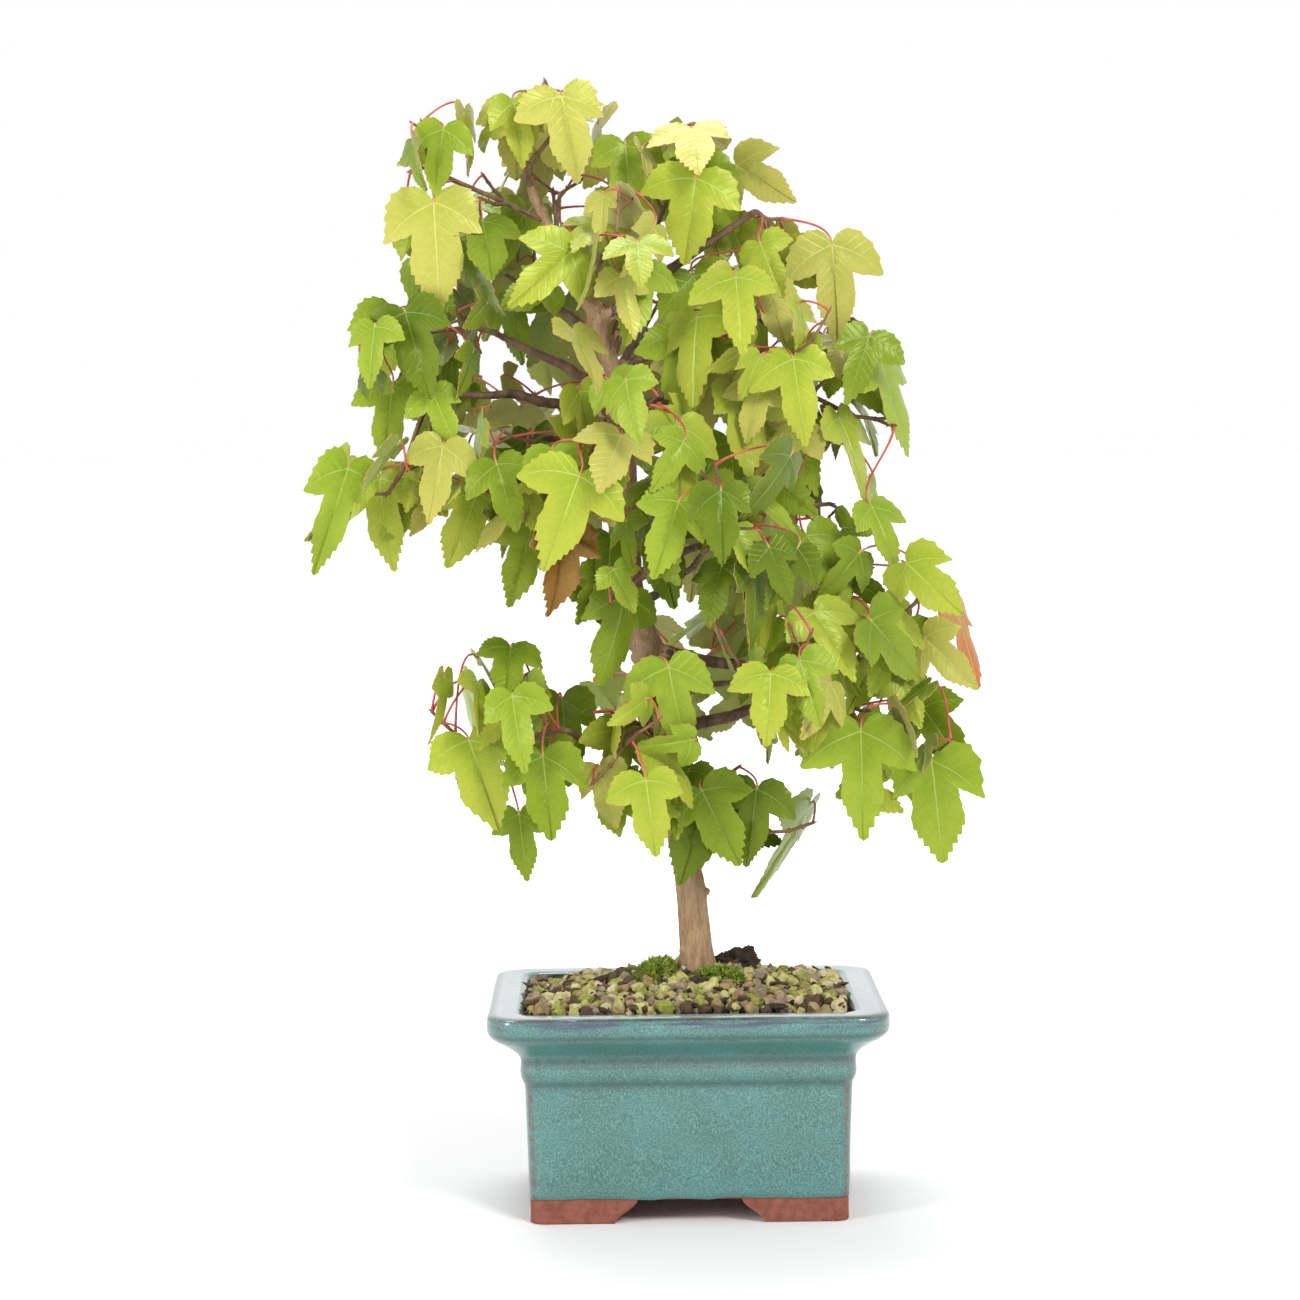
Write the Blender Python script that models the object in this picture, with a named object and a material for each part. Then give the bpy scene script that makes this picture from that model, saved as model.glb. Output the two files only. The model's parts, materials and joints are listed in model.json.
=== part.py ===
"""A small trident maple grown as a bonsai, in its glazed rectangular pot.

Sizes are in millimetres and turned into metres where a mesh is made. +Z is up, +X is the
right of the pot's long front, and +Y is its back. The sizes are measured from the point on the
ground under the pot's middle. At the end the whole part is moved so that its origin lies under
the middle of its box.
"""

import math
import random

import bmesh
import bpy
from mathutils import Matrix, Vector
from mathutils.bvhtree import BVHTree

MM = 0.001
GAP = 0.4
SEAT_GAP = 0.6
SEAT_REACH = 6.0
LIMB_STAND_OFF = 1.6

# Pot
POT_LENGTH = 150.0
POT_DEPTH = 120.0
POT_CORNER = 14.0
CORNER_STEPS = 4
# How far the outside stands in from the rim's edge, and the height there.
POT_OUTSIDE = (
    (14.4, 0.0),
    (14.9, 9.4),
    (14.6, 25.0),
    (13.9, 46.0),
    (13.5, 52.6),
    (12.5, 56.8),
    (12.0, 62.0),
    (9.6, 65.6),
    (5.6, 68.4),
    (2.4, 70.4),
    (0.9, 72.4),
    (0.0, 74.6),
    (0.0, 78.0),
    (1.4, 79.7),
)
# The same for the inside, from the rim's inner edge down to the floor.
POT_INSIDE = (
    (6.5, 80.0),
    (12.4, 79.6),
    (13.6, 78.2),
    (14.2, 75.0),
    (17.4, 66.0),
    (20.0, 15.0),
)
INSIDE_CORNER = 6.5
POCKET_CORNER = 3.0
FOOT_HEIGHT = 9.2
FOOT_WALL = 9.0
FLOOR_UNDERSIDE = 9.8
ARCH_FRONT = 28.0
ARCH_SIDE = 20.0
ARCH_SHOULDER = 8.5
HOLE_RADIUS = 6.0
HOLE_PLACE = 28.0

# Soil, with its mound at the trunk's foot
FOOT_X = 4.6
FOOT_Z = 86.6
SOIL_EDGE = 78.2
SOIL_INSET = 15.9
MOUND_X = 38.0
MOUND_Y = 30.0
LEVEL_SPOT = 10.0
SOIL_CLEAR = 0.35
SOIL_CORNER = 6.0
SOIL_SHARES = (1.0, 0.8, 0.6, 0.4, 0.28, 0.13)
# A hollow at the back left and a clod behind the trunk: place, half sizes, and height.
SOIL_DIP = (-52.0, 38.0, 18.0, 18.0, -2.6)
SOIL_CLOD = (20.0, 14.0, 8.0, 6.0, 3.0)
MOSS_DOME = ((0.5, 0.0), (1.0, 0.0), (0.94, 0.5), (0.7, 0.86), (0.35, 1.0))
MOSS_SIDES = 12
# Moss cushions: name, centre across and in depth, half sizes, and height.
MOSS = (
    ("moss_left", -11.6, -2.0, 6.4, 8.0, 4.6),
    ("moss_right", 13.6, -11.5, 9.0, 4.0, 3.2),
)

# Trunk stations: height, sideways, depth, radius
TRUNK = (
    (87.0, 4.6, 0.0, 7.6),
    (91.0, 4.4, 0.0, 6.6),
    (99.0, 3.9, 0.0, 6.0),
    (118.0, 2.5, 0.0, 5.7),
    (136.0, -0.6, 0.0, 5.1),
    (148.0, -2.6, 0.5, 5.3),
    (170.0, -7.0, 1.0, 4.9),
    (193.0, -10.8, 1.0, 4.8),
    (206.0, -13.2, 0.5, 5.0),
    (213.5, -13.8, 0.0, 6.1),
    (222.0, -15.4, 0.0, 4.4),
    (238.0, -18.8, 0.0, 3.5),
    (280.0, -20.3, -1.0, 3.4),
    (313.0, -24.5, -1.0, 3.3),
    (328.0, -28.9, 0.0, 3.4),
    (337.0, -31.0, 0.0, 4.0),
    (342.0, -33.6, 0.0, 2.5),
    (348.0, -38.8, 0.0, 1.9),
    (356.0, -44.2, 0.0, 1.8),
    (370.0, -47.9, 0.0, 1.8),
    (379.0, -52.4, 0.0, 2.1),
    (388.5, -56.0, 0.0, 1.8),
)
TRUNK_SIDES = 10
FLARE_TOP = 97.0
ROOT_RIDGES = 4
# Healed stubs on the trunk: height, compass, rise, length beyond the bark, radius
STUBS = (
    (213.5, 176.0, 8.0, 2.6, 2.6),
    (117.0, -8.0, 15.0, 1.6, 1.5),
    (340.0, 60.0, 55.0, 2.6, 2.2),
)

# Boughs: name, height on the trunk, tip (x, y, z), lift and swing of the middle, radius
BOUGHS = (
    ("low_left", 176.0, (-42, -22, 182), -4, 4, 2.2),
    ("right_low", 180.0, (49, -10, 194), 2, 2, 2.6),
    ("back_low", 188.0, (2, 32, 202), 3, 3, 2.2),
    ("right_low_front", 199.0, (15, -29, 201), -3, -3, 1.8),
    ("right_shoulder", 211.0, (61, -14, 207), -7, -3, 2.5),
    ("right_mid_front", 230.0, (5, -33, 247), 2, -4, 1.8),
    ("back_mid_right", 240.0, (10, 33, 251), 3, 5, 2.1),
    ("right_mid", 272.0, (36, -4, 269), -2, 3, 2.2),
    ("back_mid_left", 276.0, (-44, 32, 289), 4, -4, 2.0),
    ("left_mid", 284.0, (-50, -19, 293), 2, 3, 1.9),
    ("left_far", 301.0, (-85, -14, 310), 5, 4, 2.3),
    ("left_upper", 311.0, (-68, -2, 332), 0, -5, 2.2),
    ("right_far", 305.0, (41, 8, 309), 3, 3, 2.0),
    ("back_upper", 318.0, (-14, 33, 334), 3, 3, 1.9),
    ("right_upper", 317.5, (9, -22, 334), 2, -3, 1.9),
    ("left_back", 331.0, (-52, 22, 347), 2, -3, 1.8),
    ("crown_mid", 324.0, (-9, 12, 373), 0, -6, 1.9),
    ("crown_right", 338.0, (26, -8, 376), 2, 6, 2.2),
)
BOUGH_SIDES = 5
BOUGH_STEPS = 5
BOUGH_TIP = 0.55
BOUGH_KINK = 0.9

# Masses: name, what carries the stem (a bough, or a height on the trunk), centre, half sizes,
# leaves, seed
MASSES = (
    ("apex_left", 376.0, (-86, -8, 392), (26, 24, 34), 6, 5),
    ("apex_top", 388.5, (-48, -2, 409), (25, 24, 22), 8, 141),
    ("back_top", 368.0, (-46, 30, 384), (30, 26, 28), 7, 110),
    ("crown_front", 347.0, (-26, -36, 364), (28, 24, 24), 7, 150),
    ("crown_mid", "crown_mid", (0, 8, 392), (32, 24, 24), 8, 29),
    ("crown_right", "crown_right", (38, 0, 350), (32, 26, 26), 7, 116),
    ("left_back", "left_back", (-70, 28, 358), (30, 26, 28), 8, 63),
    ("back_upper", "back_upper", (-12, 54, 335), (40, 28, 34), 8, 76),
    ("right_upper", "right_upper", (28, -28, 326), (34, 28, 32), 9, 61),
    ("right_far", "right_far", (66, 6, 302), (26, 28, 40), 8, 33),
    ("left_upper", "left_upper", (-97, -8, 334), (32, 26, 34), 8, 126),
    ("left_far", "left_far", (-106, -14, 280), (34, 26, 32), 8, 65),
    ("left_mid", "left_mid", (-66, -18, 282), (30, 28, 36), 8, 78),
    ("centre_front", 296.0, (-26, -48, 296), (28, 26, 34), 8, 105),
    ("back_mid_left", "back_mid_left", (-54, 54, 290), (38, 28, 36), 8, 92),
    ("right_mid", "right_mid", (48, 2, 268), (36, 30, 32), 9, 90),
    ("right_mid_front", "right_mid_front", (12, -50, 258), (30, 24, 32), 8, 66),
    ("back_mid_right", "back_mid_right", (24, 52, 256), (38, 28, 34), 8, 88),
    ("waist", 226.0, (-18, -26, 236), (24, 24, 32), 6, 144),
    ("right_shoulder", "right_shoulder", (82, -10, 224), (34, 28, 26), 8, 68),
    ("right_low", "right_low", (76, -8, 174), (38, 28, 34), 8, 78),
    ("right_low_front", "right_low_front", (32, -42, 204), (30, 24, 26), 8, 122),
    ("hanging", 168.0, (24, -14, 148), (32, 24, 28), 5, 52),
    ("low_left", "low_left", (-68, -24, 178), (32, 26, 42), 10, 80),
    ("low_left_inner", 186.0, (-20, -28, 180), (24, 22, 34), 8, 93),
    ("back_low", "back_low", (2, 52, 190), (40, 28, 34), 8, 78),
)

# The leaves that draw the crown's outline, each with its joint (x, y, z), length, turn from
# straight down, lean of the tip towards the front, and roll about its own length
LEADING_LEAVES = {
    "apex_left": (
        (-88, -12, 409, 26, -8, 8, 0),
        (-92, -18, 382, 41, 3, 8, 5),
        (-81, 0, 417, 25, 7, 5, 72),
    ),
    "apex_top": (
        (-44, -16, 421, 33, 13, 5, 20),
        (-62, -12, 419, 25, 11, 10, 25),
    ),
    "crown_mid": (
        (5, -8, 409, 30, 6, 55, 0),
        (6, -18, 390, 33, -8, 12, 0),
        (22, 6, 396, 28, 57, 30, 0),
        (-20, 2, 404, 30, 4, 20, 0),
    ),
    "crown_front": ((-16, -52, 364, 26, 2, 52, 0),),
    "crown_right": (
        (58, 0, 366, 38, 4, 8, 10),
        (37, 6, 359, 26, 67, 30, 0),
    ),
    "right_upper": (
        (20, -36, 352, 33, 4, 38, 0),
        (41, -26, 322, 33, 8, 10, 0),
    ),
    "right_far": (
        (76, 0, 323, 40, 20, 8, 58),
        (60, -4, 300, 35, 24, 8, 62),
        (72, -8, 266, 26, 26, 15, 40),
    ),
    "left_upper": (
        (-103, -22, 341, 35, 16, 12, -8),
        (-109, -6, 314, 31, -7, 12, 0),
    ),
    "left_far": (
        (-125, -14, 283, 42, -17, 8, 10),
        (-115, -4, 279, 36, 6, 10, -15),
        (-89, -30, 291, 30, -11, 10, 0),
        (-78, 0, 273, 31, -19, 10, 20),
    ),
    "left_mid": (
        (-69, -30, 284, 27, 16, 15, 0),
        (-57, -10, 260, 32, -14, 8, 25),
    ),
    "centre_front": ((-38, -62, 280, 37, -21, 12, 0),),
    "right_mid_front": (
        (13, -68, 274, 27, 0, 20, 0),
        (-2, -56, 270, 30, -18, 12, 10),
    ),
    "right_shoulder": (
        (84, -20, 245, 30, 46, 30, 0),
        (92, -6, 216, 28, 45, 20, 0),
        (105, -2, 229, 36, 17, 5, 66),
    ),
    "right_low": (
        (66, -28, 183, 42, 1, 5, 0),
        (94, -12, 170, 40, 6, 8, 0),
    ),
    "right_low_front": ((31, -54, 207, 28, -5, 30, 0),),
    "hanging": (
        (27, -14, 161, 30, -8, 10, 0),
        (6, -28, 161, 32, 26, 10, 0),
        (48, -6, 151, 42, -28, 5, 70),
    ),
    "low_left": (
        (-81, -28, 181, 36, 17, 8, 0),
        (-53, -42, 176, 32, 5, 10, 0),
        (-63, -14, 151, 26, 6, 8, 0),
        (-90, -22, 205, 26, -3, 5, 75),
        (-65, -16, 215, 24, -8, 45, 0),
    ),
    "low_left_inner": (
        (-32, -30, 170, 24, 15, 12, 0),
        (-15, -46, 167, 29, 7, 8, 0),
    ),
    "waist": ((-22, -20, 234, 35, -14, 8, 35),),
}

# Twigs
STEM_RADIUS = 1.15
STEM_STRAIGHT = 3.0
STEM_PAST = 0.45
STEM_BEND = 0.4
TWIG_RADIUS = 0.75
TWIG_TIP = 0.6
FORK_SPACING = 20.8
FORK_PLACES = (0.42, 0.95)
SHOOT_REACH = 0.72
FORK_ANGLE = 52.0
ROOT_SINK = 0.25
UNION_SOLVER = "MANIFOLD"

# Leaves. The half outline runs from the joint: along the length, across, and out of the flat.
LEAF_OUTLINE = (
    (-0.05, 0.21, 0.02),
    (0.27, 0.53, -0.05),
    (0.35, 0.185, 0.05),
    (0.64, 0.185, 0.02),
)
LEAF_TIP = (1.0, 0.0, -0.1)
LEAF_HUB = 0.1
LEAF_SHORTEST = 25.0
LEAF_LONGEST = 38.0
BLADE_HALF = 0.5
CLEAR = 0.55
STALK_RADIUS = 0.45
STALK_LEAST = 9.0
STALK_SHARES = (0.0, 0.6, 1.0)
STALK_MOST = 44.0
STALK_LEAVE = 0.4
STALK_ARRIVE = 0.36
BUD_SPREAD = 0.6
STEM_BUDS = (0.36, 0.55, 0.72, 0.93)
SHOOT_BUDS = (0.45, 0.7, 0.95)
BLADE_MIDDLE = 0.4
LEAF_TRIES = 60
SHOOT_TRIES = 5
REACH_SHARE = 0.4
ANY_SPACE = 9.0
DEPTH_SHIFTS = (0, -5, 5, -10, 10, 15, -15, 20)
SPACE_OVER = 1.3
AXIS_X = -15.0
FRONT_OF = 22.0


def mix(a, b, t):
    """The value a share t of the way from a to b."""
    return a + (b - a) * t


def unit(v):
    """The vector at length one."""
    return v / v.length


def compass(degrees, rise=0.0):
    """A direction: 0 is +X and 90 is +Y, raised by so many degrees."""
    a, e = math.radians(degrees), math.radians(rise)
    return Vector((math.cos(a) * math.cos(e), math.sin(a) * math.cos(e), math.sin(e)))


def smooth_path(points, steps):
    """A curve through the points, with so many steps from each to the next."""
    points = [Vector(p) for p in points]
    ends = [points[0] * 2 - points[1], *points, points[-1] * 2 - points[-2]]
    path = []
    for a, b, c, d in zip(ends, ends[1:], ends[2:], ends[3:]):
        for k in range(steps):
            t = k / steps
            path.append(
                (b * 2 + (c - a) * t + (a * 2 - b * 5 + c * 4 - d) * t * t
                 + (b * 3 - a - c * 3 + d) * t ** 3) / 2
            )
    path.append(points[-1])
    return path


def tube(path, radii, sides, across=None, ridges=None):
    """The points and faces of a closed tube. across turns its first corner that way."""
    verts, faces = [], []
    before = unit(path[1] - path[0])
    side = across or before.orthogonal()
    for i, (centre, radius) in enumerate(zip(path, radii)):
        ahead = path[min(i + 1, len(path) - 1)] - path[max(i - 1, 0)]
        along = unit(ahead)
        side = before.rotation_difference(along) @ side
        side = unit(side - along * side.dot(along))
        other = along.cross(side)
        for k in range(sides):
            a = 2 * math.pi * k / sides
            swell = 1 + (ridges(centre, a) if ridges else 0)
            verts.append(centre + (side * math.cos(a) + other * math.sin(a)) * radius * swell)
        before = along
    rings = len(path)
    for i in range(rings - 1):
        for k in range(sides):
            a, b = i * sides + k, i * sides + (k + 1) % sides
            faces.append((a, b, b + sides, a + sides))
    faces.append(tuple(reversed(range(sides))))
    faces.append(tuple(range((rings - 1) * sides, rings * sides)))
    return verts, faces


def station(height):
    """The trunk's centre and radius at a height."""
    for low, high in zip(TRUNK, TRUNK[1:]):
        if height <= high[0]:
            t = (height - low[0]) / (high[0] - low[0])
            z, x, y, r = (mix(a, b, t) for a, b in zip(low, high))
            return Vector((x, y, z)), r
    z, x, y, r = TRUNK[-1]
    return Vector((x, y, z)), r


def root_ridge(centre, angle):
    """How far the root flare's ridges stand out of the trunk's foot."""
    share = max(0.0, (FLARE_TOP - centre.z) / (FLARE_TOP - TRUNK[0][0]))
    return 0.14 * share * math.cos(ROOT_RIDGES * angle + 0.6)


def trunk_shape():
    """The trunk's tube, from its flat cut at the soil to the fork of its leader."""
    path = [Vector((x, y, z)) for z, x, y, r in TRUNK]
    radii = [r for z, x, y, r in TRUNK]
    verts, faces = tube(path, radii, TRUNK_SIDES, Vector((1, 0, 0)), root_ridge)
    for point in verts[:TRUNK_SIDES]:
        point.z = TRUNK[0][0]
    return verts, faces


def seat(ring, along, carrier):
    """Moves a ring back along a limb, until it lies a gap clear of what carries it."""
    seated = []
    for point in ring:
        hit, normal, _, distance = carrier.ray_cast(point + along * SEAT_REACH, -along)
        steep = max(0.5, normal.dot(along)) if hit else 1.0
        seated.append(hit + along * (SEAT_GAP / steep) if hit else None)
    centre = sum(ring, Vector()) / len(ring)
    known = [(p - centre).dot(along) for p in seated if p is not None]
    farthest = min(known) if known else 0.0
    return [p if p is not None else r + along * farthest for p, r in zip(seated, ring)]


def seated_limb(path, radii, sides, carrier):
    """A limb's tube whose foot follows the bark of what carries it, a gap clear of it."""
    verts, faces = tube(path, radii, sides)
    along = unit(path[1] - path[0])
    foot = seat(verts[:sides] + [path[0]], along, carrier)
    verts[:sides] = foot[:sides]
    faces.remove(tuple(reversed(range(sides))))
    verts.append(foot[sides])
    hub = len(verts) - 1
    faces += [((k + 1) % sides, k, hub) for k in range(sides)]
    return verts, faces


def limb_start(height, towards):
    """Where a limb leaves the trunk at a height, going towards a point, and which way."""
    centre, radius = station(height)
    way = unit(towards - centre)
    flat = unit(Vector((way.x, way.y, way.z * 0.5)))
    return centre + flat * (radius + LIMB_STAND_OFF), way


def bough_path(row):
    """A bough's centre line, with small bends at its nodes."""
    name, height, tip, lift, swing, radius = row
    tip = Vector(tip)
    start, way = limb_start(height, tip)
    side = unit(way.cross(Vector((0, 0, 1))))
    middle = (start + tip) / 2 + Vector((0, 0, lift)) + side * swing
    rng = random.Random(name)
    path = []
    for i in range(BOUGH_STEPS + 1):
        t = i / BOUGH_STEPS
        point = start * (1 - t) ** 2 + middle * 2 * t * (1 - t) + tip * t * t
        if 0 < i < BOUGH_STEPS:
            point = point + Vector([rng.uniform(-1, 1) * BOUGH_KINK for _ in range(3)])
        path.append(point)
    radii = [radius * mix(1.12 if i == 0 else 1.0, BOUGH_TIP, i / BOUGH_STEPS)
             for i in range(BOUGH_STEPS + 1)]
    return path, radii


def in_space(point, mass):
    """How far a point is from a mass's centre, where 1 is the edge of its space."""
    name, carrier, centre, half, leaves, seed = mass
    return math.sqrt(sum(((p - c) / h) ** 2 for p, c, h in zip(point, centre, half)))


def keeps_to(point, mass, over):
    """Whether a point is in a mass's own space, or nearly so."""
    own = in_space(point, mass)
    if own > over:
        return False
    return all(in_space(point, other) > own - (over - 1) for other in MASSES if other is not mass)


class Shapes:
    """Placed shapes, to test a new one against."""

    def __init__(self):
        self.placed = []

    def add(self, verts, faces):
        centre = sum(verts, Vector()) / len(verts)
        reach = max((v - centre).length for v in verts)
        self.placed.append((centre, reach, BVHTree.FromPolygons(verts, faces)))

    def touches(self, verts, faces):
        centre = sum(verts, Vector()) / len(verts)
        reach = max((v - centre).length for v in verts)
        near = [tree for c, r, tree in self.placed if (c - centre).length < r + reach]
        if not near:
            return False
        own = BVHTree.FromPolygons(verts, faces)
        return any(own.overlap(tree) for tree in near)


def leaf_axes(facing, turn, lean, roll):
    """A leaf's length, width and face directions. facing is the level way that it looks."""
    across = Vector((-facing.y, facing.x, 0))
    t, e, r = math.radians(turn), math.radians(lean), math.radians(roll)
    hang = across * math.sin(t) - Vector((0, 0, 1)) * math.cos(t)
    length = hang * math.cos(e) + facing * math.sin(e)
    face = unit(facing - length * facing.dot(length))
    width = face.cross(length)
    face, width = (face * math.cos(r) + width * math.sin(r),
                   width * math.cos(r) - face * math.sin(r))
    return length, width, face


def stalk_path(bud, way, joint, axes, shares=STALK_SHARES):
    """A leaf stalk's curve, from a bud over to the leaf's joint, which it comes down to."""
    length, width, face = axes
    span = (joint - bud).length
    aim = unit(joint - bud)
    leave = bud + unit(aim + way * 0.3 + Vector((0, 0, 0.25))) * span * STALK_LEAVE
    level = Vector((length.x, length.y, 0)) + face * 0.2
    arrive = joint - unit(length * 0.8 + level * 0.5 - face * 0.1) * span * STALK_ARRIVE
    path = []
    for t in shares:
        s = 1 - t
        path.append(bud * s ** 3 + leave * 3 * s * s * t + arrive * 3 * s * t * t + joint * t ** 3)
    path[0] = path[0] - unit(path[1] - path[0]) * ROOT_SINK
    return path


def leaf_shape(leaf, grow=0.0):
    """A leaf with its stalk as one closed shape, or grown all round to test for room."""
    joint, axes, size, stalk = leaf
    length, width, face = axes
    verts, faces = [], []
    thick = STALK_RADIUS + grow
    ring = [(-0.87, 0.5), (0.87, 0.5), (0.0, -1.0)]
    rings = len(stalk)
    side = width
    before = length
    for i in reversed(range(rings)):
        along = unit(stalk[i] - stalk[i - 1] if i else stalk[1] - stalk[0])
        if i == rings - 1:
            side, up = width, face
        else:
            side = before.rotation_difference(along) @ side
            side = unit(side - along * side.dot(along))
            up = along.cross(side)
            before = along
        verts += [stalk[i] + side * a * thick + up * b * thick for a, b in ring]
    for i in range(rings - 1):
        for k in range(3):
            a, b = i * 3 + k, i * 3 + (k + 1) % 3
            faces.append((a, b, b + 3, a + 3))
    last = (rings - 1) * 3
    faces.append((last, last + 1, last + 2))
    first = len(verts)
    spread = 1 + grow / size * 3

    def blade(u, v, w):
        return joint + (length * u + width * v + face * w) * size * spread

    verts += [blade(u, -v, w) for u, v, w in LEAF_OUTLINE]
    verts.append(blade(*LEAF_TIP))
    verts += [blade(u, v, w) for u, v, w in reversed(LEAF_OUTLINE)]
    count = len(verts) - first
    top, bottom = len(verts), len(verts) + 1
    hub = blade(LEAF_HUB, 0, 0)
    verts += [hub + face * (BLADE_HALF + grow), hub - face * (BLADE_HALF + grow)]
    for k in range(count - 1):
        a, b = first + k, first + k + 1
        faces += [(top, a, b), (bottom, b, a)]
    left, right = first, first + count - 1
    faces += [(top, 0, left), (top, 1, 0), (top, right, 1)]
    faces += [(bottom, left, 0), (bottom, 0, 2), (bottom, 2, 1), (bottom, 1, right)]
    return verts, faces


def blade_only(leaf, grow):
    """The blade's flat outline, thickened, without its stalk."""
    joint, axes, size, stalk = leaf
    short = [mix(stalk[-1], stalk[-2], 0.08), stalk[-1]]
    return leaf_shape((joint, axes, size, short), grow)


def stalk_only(leaf, grow):
    """The stalk between its root and the joint, thickened."""
    joint, axes, size, stalk = leaf
    span = (stalk[-1] - stalk[0]).length
    clear = [mix(stalk[0], stalk[1], min(0.8, 7.0 / span)), *stalk[1:-1],
             mix(stalk[-1], stalk[-2], min(0.8, 4.0 / span))]
    return tube(clear, [STALK_RADIUS + grow] * len(clear), 3)


class Twig:
    """A shoot: its centre line, radii, and the nodes where leaves and side shoots leave it."""

    def __init__(self, path, thick, thin):
        self.path = path
        self.radii = [mix(thick, thin, i / (len(path) - 1)) for i in range(len(path))]

    def at(self, share):
        place = share * (len(self.path) - 1)
        i = min(int(place), len(self.path) - 2)
        t = place - i
        way = unit(self.path[i + 1] - self.path[i])
        return mix(self.path[i], self.path[i + 1], t), way

    def shape(self, grow=0.0):
        sides = 4 if self.radii[0] > TWIG_RADIUS else 3
        return tube(self.path, [r + grow for r in self.radii], sides)


def grow_stem(mass, boughs, rng):
    """The stem of a mass, from its bough's tip or from the trunk, through its centre."""
    name, carrier, centre, half, leaves, seed = mass
    centre = Vector(centre)
    if isinstance(carrier, str):
        path, radii = boughs[carrier]
        way = unit(path[-1] - path[-2])
        start = path[-1] + way * GAP
        thick = min(STEM_RADIUS, radii[-1])
    else:
        start, way = limb_start(carrier, centre)
        if carrier >= TRUNK[-1][0]:
            way = unit(station(carrier)[0] - station(TRUNK[-2][0])[0])
            start = station(carrier)[0] + way * GAP
        thick = STEM_RADIUS
    span = (centre - start).length
    onward = unit(centre - start)
    end = centre + onward * min(half) * STEM_PAST
    bend = start + way * span * STEM_BEND
    wander = Vector([rng.uniform(-1, 1) for _ in range(3)]) * 2.0
    points = [start, start + way * STEM_STRAIGHT,
              mix(bend, mix(start, centre, 0.45), 0.5), centre + wander, end]
    return Twig(points, thick, TWIG_RADIUS)


def side_shoot(parent, share, spin, reach, rng, mass):
    """A shoot that forks off its parent, bent a little up, cut where it would leave the space."""
    root, way = parent.at(share)
    side = unit(way.orthogonal())
    around = unit(way.cross(side))
    s = math.radians(spin)
    out = side * math.cos(s) + around * math.sin(s)
    fork = math.radians(FORK_ANGLE + rng.uniform(-9, 9))
    heading = unit(way * math.cos(fork) + out * math.sin(fork))
    length = reach * rng.uniform(0.8, 1.15)
    lifted = unit(heading + Vector((0, 0, 0.25)))
    path = [root, root + heading * length * 0.5, root + heading * length * 0.5 + lifted * length * 0.5]
    while length > 6 and not keeps_to(path[-1], mass, 1.0):
        length *= 0.8
        path[2] = path[1] + (path[2] - path[1]) * 0.6
        path[1] = root + (path[1] - root) * 0.8
    return Twig(path, TWIG_RADIUS, TWIG_TIP)


def grow_twigs(mass, stem, rng, taken):
    """The stem's pairs of side shoots, each pair turned a quarter from the one before."""
    name, carrier, centre, half, leaves, seed = mass
    twigs = [stem]
    length = sum((b - a).length for a, b in zip(stem.path, stem.path[1:]))
    pairs = max(2, round(length / FORK_SPACING))
    spin = rng.uniform(0, 360)
    reach = sum(half) / 3 * SHOOT_REACH
    for pair in range(pairs):
        share = mix(*FORK_PLACES, pair / max(1, pairs - 1))
        for half_turn in (0, 180):
            shoot = side_shoot(stem, share, spin + half_turn, reach, rng, mass)
            clear = Twig([mix(shoot.path[0], shoot.path[1], 0.3), *shoot.path[1:]],
                         TWIG_RADIUS, TWIG_TIP)
            if not taken.touches(*clear.shape(CLEAR)):
                twigs.append(shoot)
        spin += 90 + rng.uniform(-15, 15)
    return twigs


class Bud:
    """A place on a shoot that leaves grow from, and the ways that its leaf stalks take."""

    def __init__(self, twig, share):
        self.point, self.way = twig.at(share)
        self.used = []


def buds_of(twigs):
    """The buds of the stem and of its side shoots."""
    buds = []
    for i, twig in enumerate(twigs):
        buds += [Bud(twig, share) for share in (STEM_BUDS if i == 0 else SHOOT_BUDS)]
    return buds


def facing_of(point, rng):
    """The level way a leaf looks: out of the crown, and on its front half mostly forward."""
    out = Vector(((point.x - AXIS_X) / 90, (point.y - FRONT_OF) / 50, 0))
    front = -1.0 if point.y < FRONT_OF else 1.0
    way = Vector((out.x * 0.55, front * 0.85 + out.y * 0.3, 0))
    turn = math.radians(rng.gauss(0, 22))
    way = unit(way)
    return Vector((way.x * math.cos(turn) - way.y * math.sin(turn),
                   way.x * math.sin(turn) + way.y * math.cos(turn), 0))


def has_room(leaf, mass, over, taken, limbs):
    """Whether a leaf keeps to its mass's space and touches nothing."""
    joint, axes, size, stalk = leaf
    middle = joint + axes[0] * size * BLADE_MIDDLE
    if not keeps_to(middle, mass, over):
        return False
    blade = blade_only(leaf, CLEAR)
    if taken.touches(*blade) or limbs.touches(*blade):
        return False
    stem = stalk_only(leaf, CLEAR * 0.6)
    own = BVHTree.FromPolygons(*blade)
    if own.overlap(BVHTree.FromPolygons(*stem)):
        return False
    return not (taken.touches(*stem) or limbs.touches(*stem))


def join_to_bud(joint, axes, size, buds):
    """The leaf on each bud that its stalk can reach and that has room for it, nearest first."""
    ranked = sorted(buds, key=lambda bud: (bud.point - joint).length)
    for bud in ranked[:6]:
        span = (joint - bud.point).length
        aim = unit(joint - bud.point)
        if not STALK_LEAST < span < STALK_MOST:
            continue
        if any(aim.dot(used) > BUD_SPREAD for used in bud.used) or abs(aim.dot(bud.way)) > 0.93:
            continue
        yield bud, (joint, axes, size, stalk_path(bud.point, bud.way, joint, axes))


def add_leaf(bud, leaf, leaves, taken):
    """Keeps a leaf, and notes the way its stalk takes from its bud."""
    leaves.append(leaf)
    taken.add(*leaf_shape(leaf))
    bud.used.append(unit(leaf[0] - bud.point))


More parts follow.
